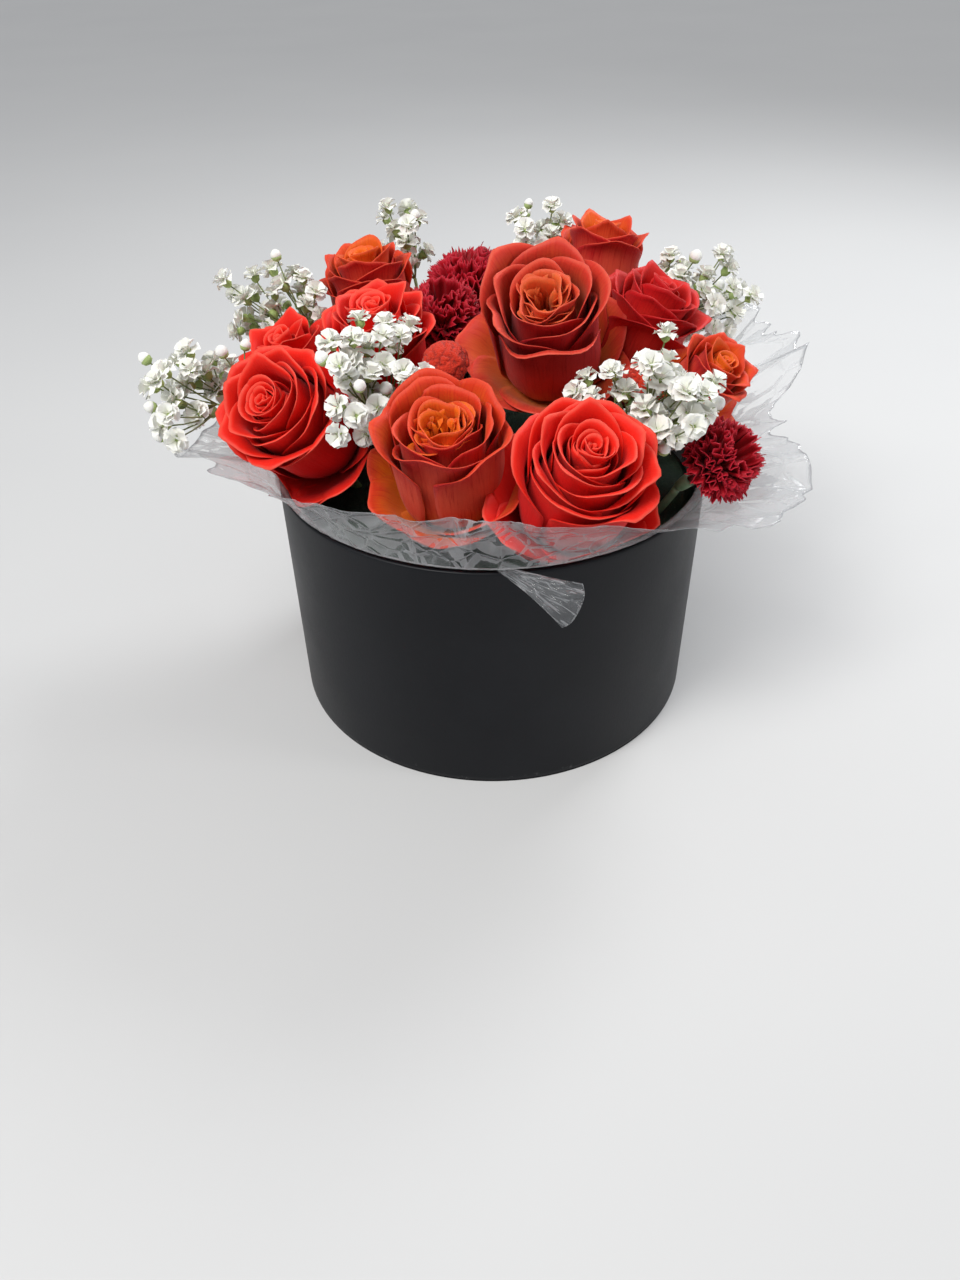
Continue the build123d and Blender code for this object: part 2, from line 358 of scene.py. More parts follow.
@dataclass(frozen=True)
class PlushFinish:
    """The fuzzy folded crest of a celosia."""

    name: str = "celosia_plush"
    # deep: the painted shade colour, used down in the folds of the crest
    deep: tuple = (0.22, 0.004, 0.002)
    bright: tuple = (0.72, 0.030, 0.006)
    tip: tuple = (0.90, 0.11, 0.02)

    def build(self) -> bpy.types.Material:
        """Wires fine velvety tufts, with painted shade down in the folds.

        Returns:
            The material.
        """
        t = ShaderTree(self.name)
        place = t.object_place()
        tuft = t.noise(place, 1500.0, 3.0, 0.6)
        # painted shade: darker down in the folds of the crest, read from the mesh's shade
        fold = t.attribute("shade")
        colour = t.mix(fold, self.bright, self.deep)
        colour = t.mix(tuft.between(0.55, 0.78) * 0.7, colour, self.tip)
        return t.finish({
            "Base Color": colour,
            "Roughness": 0.85,
            "Normal": t.bump(tuft, 0.9, 0.0012),
            "Sheen Weight": 0.12,
            "Sheen Roughness": 0.4,
        })


@dataclass(frozen=True)
class WhitePetalFinish:
    """The papery white of baby's breath, greener towards the heart and the cup."""

    name: str = "breath_white"
    white: tuple = (0.90, 0.90, 0.86)
    cream: tuple = (0.78, 0.80, 0.62)
    green: tuple = (0.33, 0.43, 0.14)

    def build(self) -> bpy.types.Material:
        """Wires white petals over a green cup, told apart by the mesh's layer.

        Returns:
            The material.
        """
        t = ShaderTree(self.name)
        layer = t.attribute("layer")
        shade = t.attribute("shade")
        grain = t.noise(t.object_place(), 1400.0, 2.0)
        colour = t.mix(shade.clamped(), self.white, self.cream)
        colour = t.mix(layer.between(0.4, 0.9), colour, self.green)
        colour = t.tint(grain.between(0.5, 0.8) * 0.12, colour, (0.75, 0.76, 0.68))
        return t.finish({
            "Base Color": colour,
            "Roughness": 0.7,
            "Normal": t.bump(grain, 0.25, 0.0004),
            "Subsurface Weight": 0.2,
            "Subsurface Radius": (0.002, 0.002, 0.0016),
            "Subsurface Scale": 0.3,
        })


@dataclass(frozen=True)
class CoveringPaperFinish:
    """Satin black covering paper with a faint long grain."""

    name: str = "black_paper"
    black: tuple = (0.0030, 0.0036, 0.0056)
    lighter: tuple = (0.0085, 0.0094, 0.0120)

    def build(self) -> bpy.types.Material:
        """Wires the soft-sheen paper.

        Returns:
            The material.
        """
        t = ShaderTree(self.name)
        place = t.object_place()
        cloud = t.noise(place, 22.0, 3.0)
        fibre = t.noise(t.scaled(place, (1500.0, 1500.0, 420.0)), 1.0, 3.0, 0.6)
        rub = t.noise(place, 260.0, 4.0, 0.65)
        low = t.part(place, "Z").between(0.006, 0.0, 0.0, 1.0)
        colour = t.mix(cloud.between(0.35, 0.75) * 0.6, self.black, self.lighter)
        colour = t.mix((rub.between(0.58, 0.72) * low * 0.8).clamped(), colour, (0.09, 0.09, 0.09))
        return t.finish({
            "Base Color": colour,
            "Roughness": cloud.between(0.2, 0.8, 0.40, 0.50) + (fibre - 0.5) * 0.10,
            "Normal": t.bump(fibre + rub * 0.35, 0.16, 0.00025),
            "Specular IOR Level": 0.22,
        })


@dataclass(frozen=True)
class BoardFinish:
    """Plain grey board, seen only inside and where the paper ends."""

    name: str = "greyboard"

    def build(self) -> bpy.types.Material:
        """Wires flecked pulp board.

        Returns:
            The material.
        """
        t = ShaderTree(self.name)
        place = t.object_place()
        fleck = t.noise(place, 900.0, 4.0, 0.7)
        colour = t.mix(fleck.between(0.3, 0.7), (0.30, 0.27, 0.23), (0.46, 0.42, 0.36))
        return t.finish({"Base Color": colour, "Roughness": 0.9, "Normal": t.bump(fleck, 0.4, 0.0004)})


@dataclass(frozen=True)
class FoamFinish:
    """Wet floral foam: dark green, darkened further towards black as painted shade between the flowers, with
    fine open pores darkened as painted shade.
    """

    name: str = "floral_foam"

    def build(self) -> bpy.types.Material:
        """Wires the pores, and the painted shade in them.

        Returns:
            The material.
        """
        t = ShaderTree(self.name)
        place = t.object_place()
        pores = t.node("ShaderNodeTexVoronoi", {}, {"Vector": place, "Scale": 1400.0}, "Distance")
        cloud = t.noise(place, 60.0, 3.0)
        # dark green pushed towards black: partly the foam's own colour, partly painted shade deep between the
        # flowers
        colour = t.mix(cloud.between(0.3, 0.7), (0.006, 0.022, 0.010), (0.014, 0.040, 0.018))
        # painted shade: darker inside each pore
        colour = t.tint(pores.between(0.45, 0.1), colour, (0.4, 0.4, 0.4))
        return t.finish({"Base Color": colour, "Roughness": 0.95, "Normal": t.bump(pores, 0.7, 0.0008)})


@dataclass(frozen=True)
class FilmFinish:
    """Clear crinkled cellophane: almost invisible face on, bright where it turns, with painted highlights
    along creases, along its free edge and along the fold over the rim.
    """

    name: str = "clear_film"
    clear: float = 0.015
    milky: float = 0.075

    def build(self) -> bpy.types.Material:
        """Wires clear film with crease lines, and painted highlights along the creases, the free edge and the
        fold over the rim.

        Returns:
            The material.
        """
        t = ShaderTree(self.name)
        place = t.object_place()
        uv = t.uv()
        crease = t.node("ShaderNodeTexVoronoi", {"feature": "DISTANCE_TO_EDGE"},
                        {"Vector": t.scaled(uv, (58.0, 7.0, 1.0)), "Scale": 1.0}, "Distance")
        fine = t.noise(t.scaled(place, (300.0, 300.0, 150.0)), 1.0, 2.0, 0.5)
        broad = t.noise(place, 38.0, 2.0)
        height = crease.between(0.0, 0.16) * 0.8 + fine * 0.25 + broad * 1.4
        normal = t.bump(height, 0.40, 0.0022)
        # painted highlight: a whiter, more opaque line along each crease
        line = crease.between(0.035, 0.0)
        turn = t.node("ShaderNodeFresnel", {}, {"IOR": 1.42, "Normal": normal})
        along = t.part(uv, "Y")
        # painted highlight along the film's free edge
        edge = along.between(0.985, 1.0)
        patch = broad.between(0.42, 0.62)
        # painted highlight: a bright line where the film folds over the rim
        fold_highlight = along.between(0.46, 0.49) * along.between(0.53, 0.50)
        share = turn * 0.42 + line * 0.09 + edge * 0.34 + fold_highlight * 0.40 + patch * self.milky + self.clear
        clear = t.node("ShaderNodeBsdfTransparent")
        sheet = t.node("ShaderNodeBsdfPrincipled", {}, {
            "Base Color": (0.58, 0.60, 0.62, 1.0),
            "Roughness": 0.10,
            "Normal": normal,
            "Specular IOR Level": 1.0,
            "Coat Weight": 0.6,
            "Coat Roughness": 0.05,
        })
        both = t.node("ShaderNodeMixShader", {}, {0: share.clamped(0.0, 0.85), 1: clear, 2: sheet})
        return t.surface(both)


@dataclass(frozen=True)
class FloorFinish:
    """A plain pale studio floor."""

    name: str = "studio_floor"

    def build(self) -> bpy.types.Material:
        """Wires the matt floor.

        Returns:
            The material.
        """
        t = ShaderTree(self.name)
        soft = t.noise(t.object_place(), 3.0, 2.0)
        colour = t.mix(soft, (0.60, 0.60, 0.60), (0.64, 0.64, 0.635))
        return t.finish({"Base Color": colour, "Roughness": 0.6, "Specular IOR Level": 0.2})


SCARLET = PetalFinish(
    "scarlet_petals",
    foot_inside=(0.34, 0.002, 0.004), inside=(0.76, 0.008, 0.006), lip_inside=(0.86, 0.022, 0.010),
    foot_outside=(0.34, 0.003, 0.005), outside=(0.72, 0.009, 0.008), lip_outside=(0.84, 0.026, 0.014),
    heart=(0.52, 0.003, 0.008), vein=(0.72, 0.45, 0.45), vein_share=0.35,
    edge=(0.92, 0.14, 0.09), edge_share=0.5,
)
CORAL = PetalFinish(
    "coral_petals",
    foot_inside=(0.50, 0.03, 0.01), inside=(0.62, 0.012, 0.008), lip_inside=(0.66, 0.016, 0.012),
    foot_outside=(0.55, 0.10, 0.04), outside=(0.60, 0.022, 0.014), lip_outside=(0.52, 0.008, 0.012),
    heart=(0.74, 0.06, 0.01), vein=(0.60, 0.30, 0.30), vein_share=0.55,
    edge=(0.60, 0.04, 0.04), edge_share=0.4,
)
FLAME = PetalFinish(
    "flame_petals",
    foot_inside=(0.80, 0.36, 0.012), inside=(0.80, 0.18, 0.010), lip_inside=(0.70, 0.045, 0.014),
    foot_outside=(0.66, 0.28, 0.08), outside=(0.62, 0.070, 0.034), lip_outside=(0.50, 0.014, 0.018),
    heart=(0.90, 0.21, 0.008), vein=(0.66, 0.24, 0.20), vein_share=0.75,
    lip_start=0.66, edge=(0.80, 0.10, 0.05), edge_share=0.5, heart_reach=0.74, heart_outside=0.85,
)
PEACH = PetalFinish(
    "peach_petals",
    foot_inside=(0.86, 0.36, 0.06), inside=(0.80, 0.16, 0.035), lip_inside=(0.66, 0.045, 0.026),
    foot_outside=(0.58, 0.14, 0.05), outside=(0.52, 0.030, 0.026), lip_outside=(0.40, 0.007, 0.016),
    heart=(0.86, 0.19, 0.045), vein=(0.60, 0.26, 0.24), vein_share=0.6,
    lip_start=0.60, edge=(0.84, 0.14, 0.08), edge_share=0.5, heart_reach=0.78, heart_outside=0.9,
)
CRIMSON = PetalFinish(
    "crimson_petals",
    foot_inside=(0.10, 0.001, 0.003), inside=(0.27, 0.001, 0.006), lip_inside=(0.42, 0.003, 0.014),
    foot_outside=(0.12, 0.001, 0.003), outside=(0.28, 0.001, 0.006), lip_outside=(0.44, 0.003, 0.014),
    heart=(0.25, 0.001, 0.005), vein=(0.6, 0.4, 0.4), vein_share=0.4,
    lip_start=0.75, edge=(0.66, 0.025, 0.055), edge_share=0.5,
)
ROSE_GREEN = LeafFinish("rose_green", (0.045, 0.115, 0.022), (0.13, 0.22, 0.05), (0.20, 0.10, 0.05), 0.35)
CARNATION_GREEN = LeafFinish("carnation_green", (0.12, 0.20, 0.10), (0.22, 0.32, 0.19),
                             (0.25, 0.32, 0.2), 0.2)
BREATH_GREEN = LeafFinish("breath_green", (0.10, 0.13, 0.035), (0.22, 0.25, 0.09), (0.20, 0.11, 0.05), 0.2)


# ---------------------------------------------------------------- mesh helpers


class Heap:
    """Vertices, faces, map places and the three finish numbers, gathered for one piece."""

    def __init__(self) -> None:
        """Starts empty."""
        self.points: list = []
        self.faces: list = []
        self.uvs: list = []
        self.side: list = []
        self.layer: list = []
        self.shade: list = []
        self.count = 0

    def add(self, points: np.ndarray, faces: list, uvs: np.ndarray, side: object = 0.0,
            layer: object = 0.0, shade: object = 0.0) -> None:
        """Adds one patch.

        Args:
            points: N by 3 places in metres.
            faces: tuples of vertex numbers within the patch.
            uvs: N by 2 map places.
            side: number or N numbers, see Side.
            layer: number or N numbers, how far out in the flower.
            shade: number or N numbers, how deep or dark.
        """
        n = len(points)
        self.points.append(points)
        self.faces.extend(tuple(i + self.count for i in face) for face in faces)
        self.uvs.append(uvs)
        for store, value in ((self.side, side), (self.layer, layer), (self.shade, shade)):
            store.append(np.broadcast_to(np.asarray(value, float), (n,)).copy())
        self.count += n

    def piece(self, name: str, material: bpy.types.Material) -> bpy.types.Object:
        """Makes the smooth shaded mesh object.

        Args:
            name: the piece's name.
            material: its finish.

        Returns:
            The new object, linked to the scene.
        """
        points = np.vstack(self.points)
        mesh = bpy.data.meshes.new(name)
        mesh.from_pydata(points.tolist(), [], self.faces)
        loops = np.zeros(len(mesh.loops), np.int32)
        mesh.loops.foreach_get("vertex_index", loops)
        uvs = np.vstack(self.uvs)[loops]
        layer = mesh.uv_layers.new(name="petal")
        layer.data.foreach_set("uv", uvs.astype(np.float32).ravel())
        for key, store in (("side", self.side), ("layer", self.layer), ("shade", self.shade)):
            made = mesh.attributes.new(key, "FLOAT", "POINT")
            made.data.foreach_set("value", np.concatenate(store).astype(np.float32))
        mesh.polygons.foreach_set("use_smooth", np.full(len(mesh.polygons), True))
        mesh.materials.append(material)
        mesh.update()
        made = bpy.data.objects.new(name, mesh)
        bpy.context.scene.collection.objects.link(made)
        return made


def settle(piece: bpy.types.Object, body: str, slot: str, *nodes: str) -> None:
    """Gives a finished piece to its body and hides the nodes that it stands for.

    Args:
        piece: the finished object.
        body: the CAD body that it rides on.
        slot: the record's material slot; not used.
        nodes: the CAD nodes that it replaces.
    """
    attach(piece, body)
    if nodes:
        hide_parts(*nodes)
    LOG.info("%s on %s: %d faces", piece.name, body, len(piece.data.polygons))


def grid_template(across: int, along: int) -> tuple:
    """A flat sheet of quads, added as a grid primitive and read back.

    Args:
        across: faces from side to side.
        along: faces from foot to lip.

    Returns:
        u from -1 to 1 and v from 0 to 1 as (along + 1, across + 1) arrays, and the quads.
    """
    bpy.ops.object.select_all(action="DESELECT")
    bpy.ops.mesh.primitive_grid_add(x_subdivisions=across, y_subdivisions=along, size=2.0)
    sheet = bpy.context.active_object
    points = np.array([vertex.co[:] for vertex in sheet.data.vertices])
    faces = [tuple(face.vertices) for face in sheet.data.polygons]
    bpy.data.objects.remove(sheet, do_unlink=True)
    u = points[:, 0].reshape(along + 1, across + 1)
    v = (points[:, 1].reshape(along + 1, across + 1) + 1) / 2
    return u, v, faces


def normals_of(points: np.ndarray) -> np.ndarray:
    """Unit normals of a (rows, columns, 3) sheet."""
    du = np.gradient(points, axis=1)
    dv = np.gradient(points, axis=0)
    normal = np.cross(du, dv)
    size = np.linalg.norm(normal, axis=2, keepdims=True)
    return normal / np.maximum(size, 1e-12)


def rim_of(rows: int, columns: int) -> list:
    """Vertex numbers round the edge of a (rows, columns) sheet, counter-clockwise."""
    bottom = list(range(columns))
    right = [row * columns + columns - 1 for row in range(1, rows)]
    top = [(rows - 1) * columns + column for column in range(columns - 2, -1, -1)]
    left = [row * columns for row in range(rows - 2, 0, -1)]
    return bottom + right + top + left


def add_sheet(heap: Heap, points: np.ndarray, faces: list, uvs: np.ndarray, thick: float,
              layer: float, shade: np.ndarray) -> None:
    """Adds a sheet with real thickness: its outer face, its inner face and the rim between them.

    Args:
        heap: what it is added to.
        points: (rows, columns, 3) middle of the sheet; its normals point away from the flower.
        faces: the sheet's quads.
        uvs: (rows, columns, 2).
        thick: thickness in metres.
        layer: the layer number kept on the mesh.
        shade: (rows, columns) shade kept on the mesh.
    """
    rows, columns = points.shape[:2]
    n = rows * columns
    offset = normals_of(points) * thick / 2
    both = np.vstack([(points + offset).reshape(-1, 3), (points - offset).reshape(-1, 3)])
    rim = rim_of(rows, columns)
    solid = list(faces) + [tuple(i + n for i in reversed(face)) for face in faces]
    for first, second in zip(rim, rim[1:] + rim[:1]):
        solid.append((second, first, first + n, second + n))
    flat_uv = uvs.reshape(-1, 2)
    side = np.concatenate([np.full(n, Side.OUTER.value), np.full(n, Side.INNER.value)])
    shades = np.concatenate([shade.ravel(), shade.ravel()])
    heap.add(both, solid, np.vstack([flat_uv, flat_uv]), side, layer, shades)


def frame_of(axis: Vector, spin: float = 0.0) -> Matrix:
    """A turn that takes +Z to axis, after a spin about +Z."""
    tilt = Vector((0, 0, 1)).rotation_difference(axis.normalized()).to_matrix()
    return tilt @ Matrix.Rotation(spin, 3, "Z")


def placed(points: np.ndarray, turn: Matrix, origin: Vector) -> np.ndarray:
    """Points, in an array of any shape, turned and moved."""
    return (points.reshape(-1, 3) @ np.array(turn).T + np.array(origin)).reshape(points.shape)


def closed_faces(rings: int, segments: int) -> list:
    """Faces of a solid of rings, with one more vertex in the middle of its foot and one of its head.

    Args:
        rings: how many rings of vertices.
        segments: vertices in a ring.

    Returns:
        The quads between the rings and the triangles of both ends.
    """
    beside = [(i + 1) % segments for i in range(segments)]
    faces = []
    for base in range(0, (rings - 1) * segments, segments):
        for i, j in enumerate(beside):
            faces.append((base + i, base + j, base + segments + j, base + segments + i))
    foot, head, last = rings * segments, rings * segments + 1, (rings - 1) * segments
    for i, j in enumerate(beside):
        faces.append((foot, j, i))
        faces.append((head, last + i, last + j))
    return faces


def add_turned(heap: Heap, profile: list, origin: Vector, axis: Vector, segments: int,
               layer: float = 0.0) -> None:
    """Adds a solid of revolution with closed ends.

    Args:
        heap: what it is added to.
        profile: (radius, height) pairs from the lower end to the upper one, in metres.
        origin: where height 0 stands.
        axis: the way it points.
        segments: faces round it.
        layer: the layer number kept on the mesh.
    """
    angles = np.linspace(0, 2 * math.pi, segments, endpoint=False)
    rows = [np.column_stack([r * np.cos(angles), r * np.sin(angles), np.full(segments, h)])
            for r, h in profile]
    rows.append(np.array([[0, 0, profile[0][1]], [0, 0, profile[-1][1]]]))
    points = placed(np.vstack(rows), frame_of(axis), origin)
    heights = np.array([h for _, h in profile for _ in range(segments)] + [profile[0][1], profile[-1][1]])
    span = max(heights.max() - heights.min(), 1e-9)
    round_it = np.tile(np.linspace(0, 1, segments), len(profile) + 1)[:len(heights)]
    uvs = np.column_stack([round_it, (heights - heights.min()) / span])
    heap.add(points, closed_faces(len(profile), segments), uvs, layer=layer)


def add_tube(heap: Heap, path: list, radii: list, segments: int) -> None:
    """Adds a closed tube along a bent path.

    Args:
        heap: what it is added to.
        path: points from one end to the other.
        radii: the tube's radius at each point.
        segments: faces round it.
    """
    angles = np.linspace(0, 2 * math.pi, segments, endpoint=False)
    rows = []
    side = None
    for i, point in enumerate(path):
        ahead = path[min(i + 1, len(path) - 1)] - path[max(i - 1, 0)]
        ahead.normalize()
        if side is None:
            side = ahead.orthogonal().normalized()
        side = (side - ahead * side.dot(ahead)).normalized()
        middle, first, other = (np.array(way) for way in (point, side, ahead.cross(side)))
        ring = [middle + radii[i] * (math.cos(a) * first + math.sin(a) * other) for a in angles]
        rows.append(np.array(ring))
    rows.append(np.array([path[0][:], path[-1][:]]))
    points = np.vstack(rows)
    uvs = np.zeros((len(points), 2))
    uvs[:len(path) * segments, 1] = np.repeat(np.linspace(0, 1, len(path)), segments)
    heap.add(points, closed_faces(len(path), segments), uvs)


def smooth(value: np.ndarray) -> np.ndarray:
    """Smooth step of a value clipped to 0..1."""
    x = np.clip(value, 0, 1)
    return x * x * (3 - 2 * x)


def ease(value: float, low: float, high: float) -> float:
    """A plain mix from low to high."""
    return low + (high - low) * value


def any_turn(rng: random.Random) -> float:
    """A turn drawn from the whole circle."""
    return rng.uniform(0, 6.28)


# ---------------------------------------------------------------- what the frame says of each plant


@dataclass
class Plant:
    """One cut flower as the frame holds it: the middle of its head, its size and its stem."""

    centre: Vector
    facing: Vector
    radius: float
    foot: Vector
    axis: Vector
    seat: float

    @property
    def cup(self) -> Vector:
        """Where the petals stand on the cup."""
        return self.centre - self.facing * self.radius * self.seat

    def stem_line(self, neck: Vector, straight: float, shares: tuple, bent: tuple = ()) -> list:
        """The stem's middle line, from its slanted cut up its own axis and over to the neck.

        Args:
            neck: where the stem ends.
            straight: how much of the way to the neck it keeps to its axis.
            shares: where the points of the straight part stand, 0 to 1.
            bent: where the points of the bent part stand, 0 to 1.

        Returns:
            The points, two at the cut, those of both parts and the neck.
        """
        bend = self.foot + self.axis * (neck - self.foot).dot(self.axis) * straight
        line = [self.foot + self.axis * rise * MM for rise in (0.2, 2.2)]
        line += [self.foot.lerp(bend, share) for share in shares]
        line += [bend.lerp(neck, share) for share in bent]
        return line + [neck]

    @staticmethod
    def read(name: str, depth: float = 0.0) -> "Plant":
        """Reads a flower's place, size and axes from its own nodes.

        Args:
            name: the flower's body.
            depth: how much lower than the frame's bloom its petals start, in radii.

        Returns:
            The flower.
        """
        bloom = np.unique(vertices_of(f"{name}_bloom").round(6), axis=0)
        stem = vertices_of(f"{name}_stem")
        middle = (bloom.min(0) + bloom.max(0)) / 2
        gaps = np.linalg.norm(stem - middle, axis=1)
        near = np.unique(stem[gaps < gaps.min() + 0.4 * MM].round(6), axis=0)
        facing = Vector(middle - near.mean(0)).normalized()
        along = (bloom - middle) @ np.array(facing)
        across = np.linalg.norm((bloom - middle) - along[:, None] * np.array(facing), axis=1)
        radius = float(across.max()) / (ROSE_SPAN if "rose" in name else HEAD_SPAN)
        centre = Vector(middle) + facing * (float(along.min()) + PLAIN_SEAT * radius)
        return Plant(centre, facing, radius, *stem_of(name), PLAIN_SEAT + depth)


def vertices_of(node: str) -> np.ndarray:
    """The places of a node's vertices."""
    return np.array([v.co[:] for v in frame["nodes"][node].data.vertices])


def stem_of(name: str) -> tuple:
    """The lowest point of a flower's stem, and the way that it pulls out."""
    stem = vertices_of(f"{name}_stem")
    axis = pull_of(name)
    return Vector(stem[(stem @ np.array(axis)).argmin()]), axis


def pull_of(name: str) -> Vector:
    """The way a flower pulls out of the foam."""
    for joint in frame["joints"]:
        if joint["child"] == name:
            return Vector(joint["axis"]).normalized()
    raise ValueError(f"no joint moves {name}")


def loose_parts(node: str) -> list:
    """Middle and radius of each separate solid of a node.

    Args:
        node: the CAD node.

    Returns:
        (middle, radius) pairs, largest first.
    """
    keys, same = np.unique(vertices_of(node).round(5), axis=0, return_inverse=True)
    same = np.asarray(same).ravel()
    parent = list(range(len(keys)))

    def root(i: int) -> int:
        """The lowest vertex joined to i so far."""
        while parent[i] != i:
            parent[i] = parent[parent[i]]
            i = parent[i]
        return i

    for face in frame["nodes"][node].data.polygons:
        first, *others = [root(same[i]) for i in face.vertices]
        for other in others:
            parent[root(other)] = root(first)
    groups: dict = {}
    for i, point in enumerate(keys):
        groups.setdefault(root(i), []).append(point)
    found = []
    for members in groups.values():
        low, high = np.min(members, axis=0), np.max(members, axis=0)
        found.append((Vector((low + high) / 2), float((high - low).max()) / 2))
    return sorted(found, key=lambda part: (-round(part[1], 4), part[0][:]))


# ---------------------------------------------------------------- the film's free edge


@dataclass(frozen=True)
class EdgePoint:
    """A point of the film's free edge: degrees round, millimetres out and up, and how crushed it is."""

    turn: float
    out: float
    up: float
    crush: float


FILM_EDGE = (
    EdgePoint(-180, 139, 129, 1.5), EdgePoint(-172, 146, 130, 1.6), EdgePoint(-166, 139, 141, 1.4),
    EdgePoint(-150, 122, 139, 1.0), EdgePoint(-132, 113, 143, 0.8), EdgePoint(-112, 108, 146, 0.8),
    EdgePoint(-98, 107, 145, 1.3), EdgePoint(-84, 108, 146, 1.1), EdgePoint(-66, 119, 145, 0.6),
    EdgePoint(-50, 130, 137, 0.6), EdgePoint(-40, 136, 129, 0.9), EdgePoint(-24, 144, 131, 1.2),
    EdgePoint(-17, 143, 140, 1.3), EdgePoint(-6, 130, 134, 1.0), EdgePoint(6, 137, 138, 1.4),
    EdgePoint(13, 150, 153, 2.0), EdgePoint(20, 160, 150, 2.2), EdgePoint(25, 156, 154, 2.2),
    EdgePoint(33, 148, 158, 2.0), EdgePoint(44, 127, 142, 1.4), EdgePoint(62, 119, 140, 1.0),
    EdgePoint(84, 118, 143, 1.0), EdgePoint(104, 119, 138, 1.1), EdgePoint(122, 122, 143, 1.0),
    EdgePoint(142, 125, 138, 1.1), EdgePoint(160, 127, 137, 1.3),
)
COLLAR_OUT, COLLAR_FOOT = 100.4, 119.0  # where the collar leaves the rim, in millimetres
PETAL_GAP = 3.2  # what stays free between petals and film, in millimetres
FREE_ABOVE = 60 * MM  # how much further petals may reach over the free edge


def film_edge(turn: np.ndarray, key: str) -> np.ndarray:
    """One number of the film's free edge at any turn round the box.

    Args:
        turn: degrees round the box.
        key: "out", "up" or "crush".

    Returns:
        The number at each turn.
    """
    return np.interp(turn, [p.turn for p in FILM_EDGE], [getattr(p, key) for p in FILM_EDGE], period=360)


def flare(share: np.ndarray, out: np.ndarray) -> np.ndarray:
    """How far out the collar stands at a share of its height, in millimetres.

    Args:
        share: 0 at the rim, 1 at the free edge.
        out: how far out the free edge stands.

    Returns:
        The distance from the box's axis.
    """
    return COLLAR_OUT + (out - COLLAR_OUT) * (0.30 * share ** 2.2 + 0.70 * share)


def held_in(points: np.ndarray) -> np.ndarray:
    """Petals pressed inwards where they would go through the film.

    Args:
        points: (rows, columns, 3) places in metres.

    Returns:
        The same places, kept inside the film's collar.
    """
    turn = np.degrees(np.arctan2(points[..., 1], points[..., 0]))
    radius = np.hypot(points[..., 0], points[..., 1])
    out, up = film_edge(turn, "out"), film_edge(turn, "up")
    height = points[..., 2] / MM
    limit = (flare(np.clip((height - COLLAR_FOOT) / (up - COLLAR_FOOT), 0, 1), out) - PETAL_GAP) * MM
    limit = limit + FREE_ABOVE * smooth((height - up) / 6.0)
    give = 4.0 * MM
    over = np.maximum(radius - (limit - give), 0)
    pressed = np.where(over > 0, limit - give * np.exp(-over / give), radius)
    share = pressed / np.maximum(radius, 1e-6)
    return np.stack([points[..., 0] * share, points[..., 1] * share, points[..., 2]], axis=-1)


# ---------------------------------------------------------------- petals


